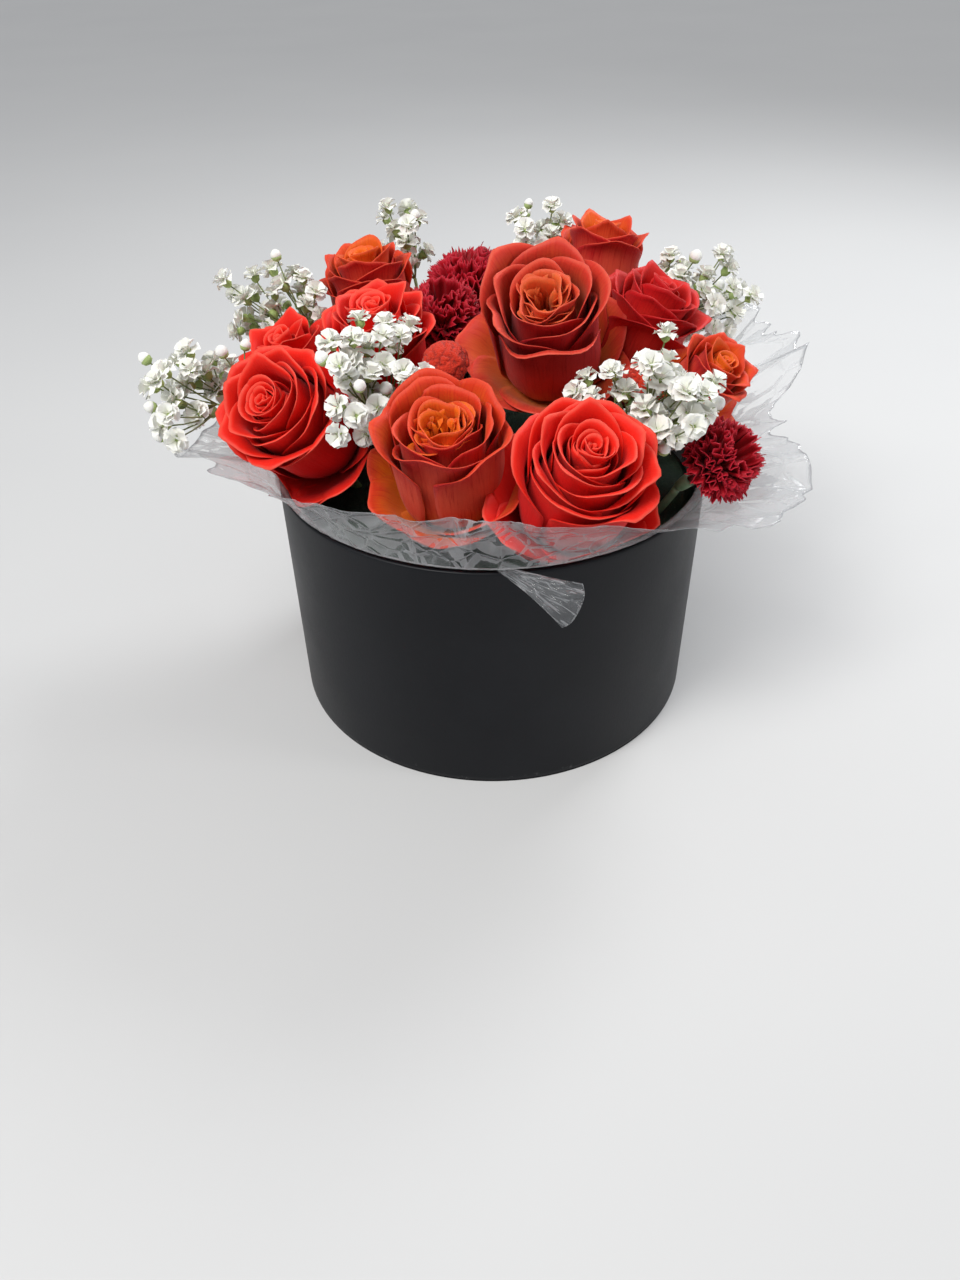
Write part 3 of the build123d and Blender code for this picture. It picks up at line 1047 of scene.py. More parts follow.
@dataclass
class Petal:
    """One petal's shape. Lengths are in metres and angles in radians."""

    turn: float
    half_width: float
    foot: float
    belly: float
    height: float
    lean: float
    roll: float
    roll_share: float
    rounding: float = 0.22
    tip: float = 0.0
    tuck: float = 0.0
    ripple: float = 0.0
    ripple_turns: float = 2.0
    phase: float = 0.0
    closing: float = 0.0
    start_lean: float = math.radians(80)
    edge_curl: float = 0.35
    dent: float = 0.0
    shift: tuple = (0.0, 0.0)

    def sheet(self, u: np.ndarray, v: np.ndarray) -> np.ndarray:
        """Bends a flat sheet into this petal, standing round +Z on the origin.

        Args:
            u: side to side, -1 to 1.
            v: foot to lip, 0 to 1.

        Returns:
            (rows, columns, 3) places.
        """
        s = v * (1 - self.rounding * np.abs(u) ** 2.6 + self.tip * np.exp(-(u / 0.17) ** 2))
        bowl, length = self._bowl()
        lean = self._leans(np.abs(u), s, bowl)
        step = np.zeros_like(s)
        step[1:] = s[1:] - s[:-1]
        middle = lean.copy()
        middle[1:] = (lean[1:] + lean[:-1]) / 2
        radius = self.foot + length * np.cumsum(np.sin(middle) * step, axis=0)
        height = length * np.cumsum(np.cos(middle) * step, axis=0)
        width = self.half_width * (0.30 + 0.70 * np.sin(math.pi / 2 * np.clip(s / 0.62, 0, 1)))
        wrap = width / np.maximum(np.abs(radius), width / 2.3)
        radius = radius + self.tuck * u * smooth(s / 0.35) + self._ripples(u, s) + self._dents(u, s)
        height = height + 0.6 * self.ripple * np.cos(u * 5.3 + self.phase) * smooth((s - 0.5) / 0.5)
        angle = self.turn + u * wrap
        east, north = self.shift
        return np.stack([radius * np.cos(angle) + east, radius * np.sin(angle) + north, height], axis=2)

    def _leans(self, across: np.ndarray, s: np.ndarray, bowl: float) -> np.ndarray:
        """How far the petal leans out of upright, from its bowl to its rolled lip.

        Args:
            across: 0 in the middle to 1 at the sides.
            s: the way up the petal.
            bowl: the share of it that bends from flat to upright.

        Returns:
            The angle at each point, in radians.
        """
        lean = self.start_lean + (self.lean - self.start_lean) * smooth(s / max(bowl, 1e-3))
        lean = lean - self.closing * np.sin(math.pi * np.clip((s - bowl) / (1 - bowl), 0, 1))
        start = 1 - self.roll_share * (1 + 0.6 * across)
        curl = np.clip((s - start) / np.maximum(1 - start, 1e-3), 0, 1.3) ** 1.4
        return lean + self.roll * (1 - self.edge_curl + 1.5 * self.edge_curl * across ** 1.5) * curl

    def _ripples(self, u: np.ndarray, s: np.ndarray) -> np.ndarray:
        """Waves that grow towards the lip."""
        wave = np.sin(u * self.ripple_turns * math.pi + self.phase) + 0.5 * np.sin(u * 7.1 + self.phase * 2.3)
        return self.ripple * wave * smooth((s - 0.35) / 0.65)

    def _dents(self, u: np.ndarray, s: np.ndarray) -> np.ndarray:
        """Shallow hollows all over the petal."""
        dents = np.sin(u * 3.7 + s * 6.1 + self.phase * 1.7) * np.sin(s * 9.0 - u * 2.3 + self.phase)
        return self.dent * (dents + 0.5 * np.sin(u * 11.0 + s * 2.0 + self.phase)) * smooth(s / 0.6)

    def _bowl(self) -> tuple:
        """The share of the petal that bends from flat to upright, and the petal's length."""
        length = max(self.height, 1e-4) * 1.1
        bowl = 0.1
        for _ in range(6):
            bowl = min(max((self.belly - self.foot) / (0.62 * length), 0.02), 0.75)
            gained = 0.70 * bowl + (1 - bowl) * math.cos(self.lean)
            length = self.height / max(gained, 0.2)
        return bowl, length


@dataclass
class FanPetal:
    """A petal that stands on a narrow claw and then fans out to a toothed, ruffled edge."""

    turn: float
    phase: float
    half_width: float
    foot: float
    length: float
    lean: float
    roll: float
    rounding: float
    teeth: float
    teeth_count: float
    ripple: float
    ripple_turns: float
    start_lean: float

    def sheet(self, u: np.ndarray, v: np.ndarray) -> np.ndarray:
        """Bends a flat sheet into this petal, standing round +Z on the origin.

        Args:
            u: side to side, -1 to 1.
            v: foot to lip, 0 to 1.

        Returns:
            (rows, columns, 3) places.
        """
        teeth = np.abs(((u * self.teeth_count + self.phase) % 1.0) - 0.5) * 2
        s = v * (1 - self.rounding * np.abs(u) ** 2 - self.teeth * teeth)
        tilt = self.start_lean + (self.lean - self.start_lean) * smooth((s - 0.22) / 0.45)
        tilt = tilt + self.roll * smooth((s - 0.7) / 0.3)
        step = np.diff(s, axis=0, prepend=0)
        radius = self.foot + self.length * np.cumsum(np.sin(tilt) * step, axis=0)
        height = self.length * np.cumsum(np.cos(tilt) * step, axis=0)
        width = self.half_width * (0.10 + 0.90 * smooth((s - 0.15) / 0.75))
        wave = np.sin(u * self.ripple_turns * math.pi + self.phase)
        wave = wave + 0.45 * np.sin(u * 13.7 + self.phase * 3.1)
        ruffle = self.ripple * wave * smooth((s - 0.4) / 0.6)
        side = u * width
        out = radius + ruffle * np.cos(tilt)
        up = height - ruffle * np.sin(tilt)
        cos, sin = math.cos(self.turn), math.sin(self.turn)
        return np.stack([out * cos - side * sin, out * sin + side * cos, up], axis=2)


@dataclass(frozen=True)
class RoseHabit:
    """How one kind of rose is built: its rosette of inner petals and its outer cup."""

    inner: int
    outer: int
    rosette: float
    cup: float
    inner_height: float
    peak_height: float
    rim_height: float
    outer_lean: float
    outer_roll: float
    inner_roll: float
    outer_share: float
    ripple: float
    tip: float
    closing: float = 0.16
    quarters: int = 0
    folded_share: float = 0.72

    def petals(self, radius: float, height: float, rng: random.Random) -> list:
        """Every petal of one bloom, from the heart out.

        Args:
            radius: the bloom's outer radius.
            height: from the cup to the top of the tallest petal.
            rng: seeded draws.

        Returns:
            (petal, layer) pairs; layer runs from 0 at the heart to 1 outside.
        """
        made = []
        total = self.inner + self.outer
        turn = rng.uniform(0, 2 * math.pi)
        for k in range(total):
            inner = k < self.inner
            t = k / max(self.inner - 1, 1) if inner else (k - self.inner) / max(self.outer - 1, 1)
            turn += GOLDEN_ANGLE + rng.uniform(-0.16, 0.16)
            phase = any_turn(rng)
            if inner:
                shape = Petal(
                    turn=turn, phase=phase,
                    half_width=radius * ease(t, 0.34, 0.74) * rng.uniform(0.9, 1.1),
                    foot=radius * 0.03,
                    belly=radius * (0.045 + (self.rosette - 0.045) * t ** 0.9),
                    height=height * ease(t, self.inner_height, self.peak_height) * rng.uniform(0.975, 1.02),
                    lean=math.radians(ease(t, -7, -1)),
                    roll=self.inner_roll * ease(t, 0.35, 1.0) * rng.uniform(0.8, 1.2),
                    roll_share=ease(t, 0.07, 0.14),
                    rounding=0.12,
                    tuck=radius * 0.035, ripple=radius * self.ripple * ease(t, 0.6, 1.0),
                    closing=self.closing,
                )
            else:
                shape = Petal(
                    turn=turn, phase=phase,
                    half_width=radius * ease(t, 0.86, 1.0) * rng.uniform(0.94, 1.06),
                    foot=radius * 0.06,
                    belly=radius * ease(t ** 0.9, self.rosette + 0.045, self.cup),
                    height=height * ease(t, self.peak_height, self.rim_height) * rng.uniform(0.97, 1.02),
                    lean=self.outer_lean * ease(t, 0.15, 1.0),
                    roll=self.outer_roll * ease(t, 0.55, 1.0) * rng.uniform(0.8, 1.15),
                    roll_share=self.outer_share * ease(t, 0.7, 1.0) * rng.uniform(0.85, 1.15),
                    rounding=0.20, tip=self.tip * rng.uniform(0.4, 1.4),
                    tuck=radius * 0.045, ripple=radius * self.ripple * 0.9,
                    closing=self.closing * 0.6, dent=radius * 0.011,
                )
            in_folds = inner and self.quarters and t < self.folded_share
            if not in_folds:
                made.append((shape, (k + 0.5) / total))
        return self._folded_heart(radius, height, rng) + made

    def _folded_heart(self, radius: float, height: float, rng: random.Random) -> list:
        """Small frilled petals nested in swirls, one swirl in each quarter of the heart."""
        made = []
        start = any_turn(rng)
        for quarter in range(self.quarters):
            way = start + quarter * 2 * math.pi / self.quarters + rng.uniform(-0.25, 0.25)
            away = radius * 0.25 * rng.uniform(0.85, 1.1)
            for t in (0.0, 0.25, 0.5, 0.75, 1.0):
                tall = height * ease(t, self.inner_height * 0.96, self.inner_height * 1.05)
                made.append((Petal(
                    turn=way + rng.uniform(-0.7, 0.7), phase=any_turn(rng),
                    half_width=radius * ease(t, 0.10, 0.46) * rng.uniform(0.85, 1.1), foot=radius * 0.02,
                    belly=radius * ease(t, 0.03, 0.235), height=tall * rng.uniform(0.97, 1.03),
                    lean=math.radians(rng.uniform(-4, 2)), roll=math.radians(rng.uniform(40, 95)),
                    roll_share=0.14, rounding=0.09, ripple=radius * 0.022,
                    ripple_turns=rng.uniform(1.2, 2.2), closing=0.05,
                    shift=(away * math.cos(way), away * math.sin(way)),
                ), 0.05 + 0.35 * t))
        return made


SPIRAL = RoseHabit(inner=22, outer=15, rosette=0.52, cup=0.82, inner_height=0.90, peak_height=0.99,
                   rim_height=0.80, outer_lean=math.radians(6), outer_roll=math.radians(88),
                   inner_roll=math.radians(50), outer_share=0.19, ripple=0.012, tip=0.05)
OPEN_SPIRAL = RoseHabit(inner=21, outer=15, rosette=0.46, cup=0.84, inner_height=0.88, peak_height=0.99,
                        rim_height=0.82, outer_lean=math.radians(5), outer_roll=math.radians(84),
                        inner_roll=math.radians(52), outer_share=0.18, ripple=0.014, tip=0.04)
CUPPED = RoseHabit(inner=26, outer=9, rosette=0.60, cup=0.87, inner_height=0.80, peak_height=0.90,
                   rim_height=0.90, outer_lean=math.radians(4), outer_roll=math.radians(78),
                   inner_roll=math.radians(44), outer_share=0.17, ripple=0.040, tip=0.03, closing=0.10,
                   quarters=4)
HALF_OPEN = RoseHabit(inner=17, outer=11, rosette=0.48, cup=0.82, inner_height=0.86, peak_height=0.98,
                      rim_height=0.86, outer_lean=math.radians(6), outer_roll=math.radians(84),
                      inner_roll=math.radians(34), outer_share=0.19, ripple=0.018, tip=0.06)


@dataclass
class Rose:
    """A cut rose: its head of petals, five sepals and a stem with its hip."""

    name: str
    finish: bpy.types.Material
    slot: str
    green: bpy.types.Material
    habit: RoseHabit
    seed: int
    depth: float = 0.6
    guards: int = 7
    lowest_guard: float = 116 * MM
    heads: list = field(default_factory=list)
    petal_thick: float = 0.34 * MM
    sepal_thick: float = 0.5 * MM
    across: int = 18
    along: int = 22
    stem_radius: float = 2.7 * MM

    def build(self) -> None:
        """Makes the rose's three pieces and gives them to its body."""
        plant = Plant.read(self.name, self.depth)
        rng = random.Random(self.seed)
        made = (
            (self._head(plant, rng), "bloom", self.slot),
            (self._sepals(plant, rng), "sepals", "rose_green"),
            (self._stem(plant), "stem", "rose_green"),
        )
        for piece, part, slot in made:
            settle(piece, self.name, slot, f"{self.name}_{part}")

    def _head(self, plant: Plant, rng: random.Random) -> bpy.types.Object:
        """All the petals of the bloom as one piece."""
        radius = plant.radius * BLOOM_FILL
        height = plant.radius * (1.90 + self.depth)
        u, v, faces = grid_template(self.across, self.along)
        heap = Heap()
        turn = frame_of(plant.facing, any_turn(rng))
        petals = self.habit.petals(radius, height, rng) + self._guards(plant, radius, height, turn, rng)
        for petal, layer in petals:
            sheet = petal.sheet(u, v)
            uvs = np.stack([(u + 1) / 2, v * (1 - 0.04 * u * u)], axis=2)
            shade = np.clip(0.9 - v * 1.3, 0, 1) * (0.4 + 0.6 * layer) + rng.uniform(0, 0.25)
            places = held_in(placed(sheet, turn, plant.cup))
            add_sheet(heap, places, faces, uvs, self.petal_thick, layer, shade)
        return heap.piece(f"{self.name}_petals", self.finish)

    def _guards(self, plant: Plant, radius: float, height: float, turn: Matrix, rng: random.Random) -> list:
        """Low, spreading outer petals, wherever no neighbour stands in their way.

        Args:
            plant: the flower.
            radius: the bloom's radius.
            height: from the cup to the top.
            turn: the bloom's own turn.
            rng: seeded draws.

        Returns:
            (petal, layer) pairs.
        """
        made = []
        start = any_turn(rng)
        for k in range(self.guards):
            angle = start + k * 2 * math.pi / self.guards + rng.uniform(-0.15, 0.15)
            reach = Vector((math.cos(angle) * radius * 1.32, math.sin(angle) * radius * 1.32, height * 0.48))
            tip = plant.cup + turn @ reach
            crowded = any((tip - centre).length < size * 0.90 + 1 * MM for centre, size in self.heads
                          if (centre - plant.centre).length > 1 * MM)
            if crowded or tip.z < self.lowest_guard:
                continue
            made.append((Petal(
                turn=angle, phase=any_turn(rng), half_width=radius * rng.uniform(0.80, 0.98),
                foot=radius * 0.06, belly=radius * 0.84, height=height * rng.uniform(0.46, 0.56),
                lean=math.radians(rng.uniform(28, 38)), roll=math.radians(rng.uniform(25, 70)),
                roll_share=0.25, tip=0.04, tuck=radius * 0.03, ripple=radius * 0.02,
            ), 1.0))
        LOG.info("%s: %d guard petals", self.name, len(made))
        return made

    def _sepals(self, plant: Plant, rng: random.Random) -> bpy.types.Object:
        """Five pointed sepals, curling away under the bloom."""
        u, v, faces = grid_template(6, 14)
        heap = Heap()
        r = plant.radius
        turn = frame_of(plant.facing, any_turn(rng))
        for k in range(5):
            petal = Petal(
                turn=k * 2 * math.pi / 5 + rng.uniform(-0.15, 0.15), half_width=r * 0.17, foot=r * 0.08,
                belly=r * rng.uniform(0.52, 0.60), height=r * 0.30, lean=math.radians(48),
                roll=math.radians(rng.uniform(60, 130)), roll_share=0.45, rounding=0.0, edge_curl=0.0,
            )
            sheet = petal.sheet(u, v)
            narrow = 1 - v ** 1.6
            spine = petal.sheet(np.zeros_like(u), v)
            sheet = spine + (sheet - spine) * (0.12 + 0.88 * narrow)[:, :, None]
            sheet[:, :, 2] += -0.05 * r + 0.03 * r * np.abs(u) * narrow
            uvs = np.stack([(u + 1) / 2, v], axis=2)
            places = placed(sheet, turn, plant.cup)
            add_sheet(heap, places, faces, uvs, self.sepal_thick, 1.0, np.zeros_like(u))
        return heap.piece(f"{self.name}_calyx", self.green)

    def _stem(self, plant: Plant) -> bpy.types.Object:
        """The stem from its slanted cut to the hip, and the cup that the petals stand in."""
        heap = Heap()
        radius = min(self.stem_radius, plant.radius * 0.13)
        hip = min(radius * 1.7, plant.radius * 0.19)
        neck = plant.cup - plant.facing * hip * 1.5
        line = plant.stem_line(neck, 0.9, (0.25, 0.5, 0.72, 0.86, 0.95), (0.6,))
        add_tube(heap, line, [radius * k for k in (0.55, 1, 1, 1, 1, 1, 0.98, 0.95, 1)], 14)
        add_turned(heap, [
            (radius * 0.9, -hip * 1.6), (hip * 0.82, -hip * 1.25), (hip, -hip * 0.75),
            (hip * 0.96, -hip * 0.3), (hip * 0.80, -0.3 * MM), (hip * 0.3, -0.15 * MM),
        ], plant.cup, plant.facing, 18)
        return heap.piece(f"{self.name}_cut_stem", self.green)


@dataclass
class Carnation:
    """A carnation: many fringed petals over a slim grey-green cup."""

    name: str
    finish: bpy.types.Material
    green: bpy.types.Material
    seed: int
    depth: float = 0.5
    petals: int = 66
    petal_thick: float = 0.3 * MM
    stem_radius: float = 1.8 * MM

    def build(self) -> None:
        """Makes the head and the stem."""
        plant = Plant.read(self.name, self.depth)
        rng = random.Random(self.seed)
        settle(self._head(plant, rng), self.name, "carnation_petals", f"{self.name}_bloom")
        settle(self._stem(plant), self.name, "carnation_green", f"{self.name}_stem")

    def _head(self, plant: Plant, rng: random.Random) -> bpy.types.Object:
        """The ruffled, fringed petals as one piece."""
        u, v, faces = grid_template(28, 12)
        heap = Heap()
        radius = plant.radius * BLOOM_FILL
        turn = frame_of(plant.facing, any_turn(rng))
        uvs = np.stack([(u + 1) / 2, v], axis=2)
        shade = np.clip(1.1 - v * 1.2, 0, 1)
        angle = any_turn(rng)
        for k in range(self.petals):
            t = (k + 0.5) / self.petals
            angle += GOLDEN_ANGLE + rng.uniform(-0.2, 0.2)
            lean = math.radians(ease(t ** 0.75, 4, 86) + rng.uniform(-8, 8))
            long = 1.56 + self.depth * (1 - t) if k % 3 else 1.30
            petal = FanPetal(
                turn=angle, phase=any_turn(rng), half_width=radius * rng.uniform(0.42, 0.56),
                foot=radius * 0.05, lean=lean, roll=math.radians(rng.uniform(-25, 40)), rounding=0.10,
                teeth=0.10, teeth_count=rng.uniform(6.5, 8.5),
                ripple=radius * rng.uniform(0.07, 0.12), ripple_turns=rng.uniform(2.6, 4.0),
                start_lean=math.radians(6), length=radius * long * rng.uniform(0.96, 1.05),
            )
            places = held_in(placed(petal.sheet(u, v), turn, plant.cup))
            add_sheet(heap, places, faces, uvs, self.petal_thick, t, shade)
        return heap.piece(f"{self.name}_petals", self.finish)

    def _stem(self, plant: Plant) -> bpy.types.Object:
        """The jointed stem and the long cup."""
        heap = Heap()
        radius = self.stem_radius
        cup = min(radius * 1.7, plant.radius * 0.19)
        neck = plant.cup - plant.facing * cup * 2.4
        line = plant.stem_line(neck, 0.85, (0.3, 0.6, 0.69, 0.71, 0.73, 0.9), (0.6,))
        add_tube(heap, line, [radius * k for k in (0.5, 1, 1, 1, 1.02, 1.3, 1.02, 1, 1, 1)], 12)
        add_turned(heap, [
            (radius * 0.9, -cup * 2.6), (cup * 0.85, -cup * 2.1), (cup, -cup * 1.2), (cup * 1.02, -cup * 0.3),
            (cup * 1.08, -0.2 * MM), (cup * 0.4, -0.15 * MM),
        ], plant.cup, plant.facing, 16)
        return heap.piece(f"{self.name}_cut_stem", self.green)


@dataclass
class Celosia:
    """A small plush ball of folded crest on a stout stem."""

    name: str
    finish: bpy.types.Material
    green: bpy.types.Material
    seed: int
    stem_radius: float = 1.9 * MM

    def build(self) -> None:
        """Makes the head and the stem."""
        plant = Plant.read(self.name)
        settle(self._head(plant), self.name, "celosia_plush", f"{self.name}_bloom")
        settle(self._stem(plant), self.name, "rose_green", f"{self.name}_stem")

    def _head(self, plant: Plant) -> bpy.types.Object:
        """A sphere pushed into folds and tufts, with painted shade kept for the folds."""
        bpy.ops.object.select_all(action="DESELECT")
        bpy.ops.mesh.primitive_ico_sphere_add(subdivisions=6, radius=1.0)
        ball = bpy.context.active_object
        ball.name = f"{self.name}_crest"
        turn = frame_of(plant.facing)
        shift = Vector((self.seed * 3.1, self.seed * 1.7, 0))
        fold_shade = []
        for vertex in ball.data.vertices:
            way = vertex.co.normalized()
            fold = abs(noise.noise(way * 2.3 + shift)) + 0.5 * abs(noise.noise(way * 5.1 + shift))
            tuft = noise.noise(way * 24.0 + shift)
            flat = 0.88 if way.z > 0 else 0.94
            size = plant.radius * (0.90 + 0.16 * min(fold, 0.6) + 0.035 * tuft)
            local = Vector((way.x * size, way.y * size, way.z * size * flat))
            vertex.co = plant.centre + turn @ local
            # painted shade, strongest down in the folds
            fold_shade.append(max(0.0, 1.0 - fold * 3.2) * 0.8)
        made = ball.data.attributes.new("shade", "FLOAT", "POINT")
        made.data.foreach_set("value", np.array(fold_shade, np.float32))
        ball.data.materials.append(self.finish)
        bpy.ops.object.shade_smooth()
        return ball

    def _stem(self, plant: Plant) -> bpy.types.Object:
        """A stout straight stem."""
        heap = Heap()
        line = plant.stem_line(plant.cup, 0.85, (0.4, 0.8, 1.0))
        add_tube(heap, line, [self.stem_radius * k for k in (0.5, 1, 1, 1, 1, 1.3)], 12)
        return heap.piece(f"{self.name}_cut_stem", self.green)


@dataclass(frozen=True)
class Whorl:
    """One ring of petals in a double flower: how many, their lean, their length and how high it stands."""

    count: int
    lean: float
    length: float
    lift: float


WHORLS = (Whorl(6, 80, 1.0, 0.0), Whorl(5, 50, 1.0, 0.12), Whorl(4, 20, 0.95, 0.2))
FLORET_GRID = grid_template(3, 2)


@dataclass
class BreathSprig:
    """A sprig of baby's breath: forked wiry stems with double white flowers and round buds."""

    name: str
    white: bpy.types.Material
    green: bpy.types.Material
    seed: int
    flower_radius: float = 6.5 * MM
    bud_radius: float = 2.9 * MM
    stem_radius: float = 1.0 * MM
    wire_radius: float = 0.42 * MM
    companions: int = 2
    tries: int = 60
    lowest: float = 129 * MM
    head_gap: float = 5.5 * MM
    flower_gap: float = 8.6 * MM
    heads: list = field(default_factory=list)
    taken: list = field(default_factory=list)

    def build(self) -> None:
        """Makes the flowers and the stem from the places of the CAD flowers."""
        rng = random.Random(self.seed)
        heads = loose_parts(f"{self.name}_flowers")
        self.taken.extend(place for place, _ in heads)
        foot, axis = stem_of(self.name)
        fork = self._fork(foot, axis, heads)
        flowers, stems = Heap(), Heap()
        small = max(size for _, size in heads) * 0.8
        reach = (fork - foot).length
        line = [foot + axis * reach * share for share in (0.0, 0.03, 0.5, 1.0)]
        add_tube(stems, line, [self.stem_radius * k for k in (0.5, 1.0, 1.0, 0.85)], 8)
        for group in self._groups(fork, heads):
            middle = sum((place for place, _ in group), Vector()) / len(group)
            split = fork.lerp(middle, rng.uniform(0.45, 0.6)) if len(group) > 1 else fork.copy()
            if len(group) > 1:
                self._branch(stems, fork, split, self.wire_radius * 1.35, rng)
            for place, size in group:
                way = (place - split).normalized()
                up = (way + Vector((0, 0, 0.45)) + self._jitter(rng, 0.35)).normalized()
                if size > small:
                    self._flower(flowers, place, up, rng.uniform(0.90, 1.06), rng)
                    self._branch(stems, split, place - up * self.flower_radius * 0.8, self.wire_radius, rng)
                    self._companions(flowers, stems, split, place, rng)
                else:
                    self._bud(flowers, place, up, rng.uniform(0.85, 1.15), rng)
                    self._branch(stems, split, place - up * self.bud_radius * 0.9, self.wire_radius, rng)
        settle(flowers.piece(f"{self.name}_blossom", self.white), self.name, "breath_white",
               f"{self.name}_flowers")
        settle(stems.piece(f"{self.name}_wires", self.green), self.name, "breath_green", f"{self.name}_stem")

    @staticmethod
    def _jitter(rng: random.Random, size: float) -> Vector:
        """A small random vector."""
        return Vector((rng.uniform(-size, size), rng.uniform(-size, size), rng.uniform(-size, size)))

    @staticmethod
    def _fork(foot: Vector, axis: Vector, heads: list) -> Vector:
        """Where the branches leave the stem: on its axis, a little below the lowest flower."""
        lowest = min((place - foot).dot(axis) for place, _ in heads)
        return foot + axis * (lowest - 14 * MM)

    @staticmethod
    def _groups(fork: Vector, heads: list) -> list:
        """Flowers gathered in neighbouring twos and threes."""
        left = sorted(heads, key=lambda head: (head[0] - fork).length)
        groups = []
        while left:
            first = left.pop()
            left.sort(key=lambda head: -(head[0] - first[0]).length)
            group = [first]
            while left and len(group) < 3 and (left[-1][0] - first[0]).length < 19 * MM:
                group.append(left.pop())
            groups.append(group)
            left.sort(key=lambda head: (head[0] - fork).length)
        return groups

    def _branch(self, heap: Heap, start: Vector, end: Vector, radius: float, rng: random.Random) -> None:
        """One thin branch with a slight bend."""
        length = (end - start).length
        bow = self._jitter(rng, 0.05) * length + Vector((0, 0, -0.03 * length))
        path = []
        for share in (0.0, 0.3, 0.65, 1.0):
            path.append(start.lerp(end, share) + bow * math.sin(math.pi * share))
        add_tube(heap, path, [radius, radius * 0.9, radius * 0.8, radius * 0.8], 5)

    def _flower(self, heap: Heap, place: Vector, up: Vector, scale: float, rng: random.Random) -> None:
        """One double flower: three ruffled whorls over a green cup."""
        radius = self.flower_radius * scale
        turn = frame_of(up, any_turn(rng))
        origin = place - up * radius * 0.55
        add_turned(heap, [
            (radius * 0.10, -radius * 0.42), (radius * 0.34, -radius * 0.20), (radius * 0.40, radius * 0.18),
        ], origin, up, 7, layer=1.0)
        u, v, faces = FLORET_GRID
        uvs = np.stack([u, v], axis=2).reshape(-1, 2)
        shade = np.clip(0.75 - v, 0, 1).ravel()
        for number, whorl in enumerate(WHORLS):
            for k in range(whorl.count):
                petal = FanPetal(
                    turn=(k + 0.5 * number) * 2 * math.pi / whorl.count + rng.uniform(-0.2, 0.2),
                    phase=any_turn(rng), half_width=radius * 0.46, foot=radius * 0.10,
                    length=radius * whorl.length, lean=math.radians(whorl.lean + rng.uniform(-9, 9)),
                    roll=math.radians(rng.uniform(10, 50)), rounding=0.12, teeth=0.10, teeth_count=2.2,
                    ripple=radius * 0.12, ripple_turns=2.4, start_lean=math.radians(20),
                )
                sheet = petal.sheet(u, v)
                sheet[:, :, 2] += whorl.lift * radius
                points = placed(sheet, turn, origin).reshape(-1, 3)
                heap.add(points, faces, uvs, Side.OUTER.value, 0.0, shade)

    def _bud(self, heap: Heap, place: Vector, up: Vector, scale: float, rng: random.Random) -> None:
        """One round bud in its green cup."""
        radius = self.bud_radius * scale
        add_turned(heap, [
            (radius * 0.25, -radius * 1.05), (radius * 0.78, -radius * 0.75), (radius * 0.98, -radius * 0.1),
        ], place, up, 9, layer=0.85)
        add_turned(heap, [
            (radius * 0.90, -radius * 0.35), (radius, radius * 0.15), (radius * 0.82, radius * 0.62),
            (radius * 0.42, radius * 0.98), (radius * 0.1, radius * (1.08 + rng.uniform(0, 0.1))),
        ], place, up, 9, layer=0.0)

    def _companions(self, flowers: Heap, stems: Heap, split: Vector, place: Vector,
                    rng: random.Random) -> None:
        """More flowers and buds of the same branch, where there is room beside the first one.

        Args:
            flowers: what the flowers are added to.
            stems: what their branches are added to.
            split: where the branch splits.
            place: the first flower.
            rng: seeded draws.
        """
        added = 0
        for _ in range(self.tries):
            if added == self.companions:
                return
            way = self._jitter(rng, 1.0)
            if way.length < 0.2:
                continue
            beside = place + way.normalized() * rng.uniform(9.0, 12.5) * MM
            if not self._is_free(beside):
                continue
            self.taken.append(beside)
            added += 1
            up = (beside - split).normalized() + way.normalized() * 0.5 + Vector((0, -0.1, 0.4))
            up.normalize()
            if rng.random() < 0.86:
                self._flower(flowers, beside, up, rng.uniform(0.80, 0.98), rng)
                self._branch(stems, split, beside - up * self.flower_radius * 0.7, self.wire_radius, rng)
            else:
                self._bud(flowers, beside, up, rng.uniform(0.8, 1.05), rng)
                self._branch(stems, split, beside - up * self.bud_radius * 0.9, self.wire_radius, rng)

    def _is_free(self, place: Vector) -> bool:
        """Whether a flower fits at a place: clear of the big heads, its neighbours and the foam."""
        if place.z < self.lowest:
            return False
        if any((place - centre).length < radius + self.head_gap for centre, radius in self.heads):
            return False
        return all((place - other).length > self.flower_gap for other in self.taken)


# ---------------------------------------------------------------- the film


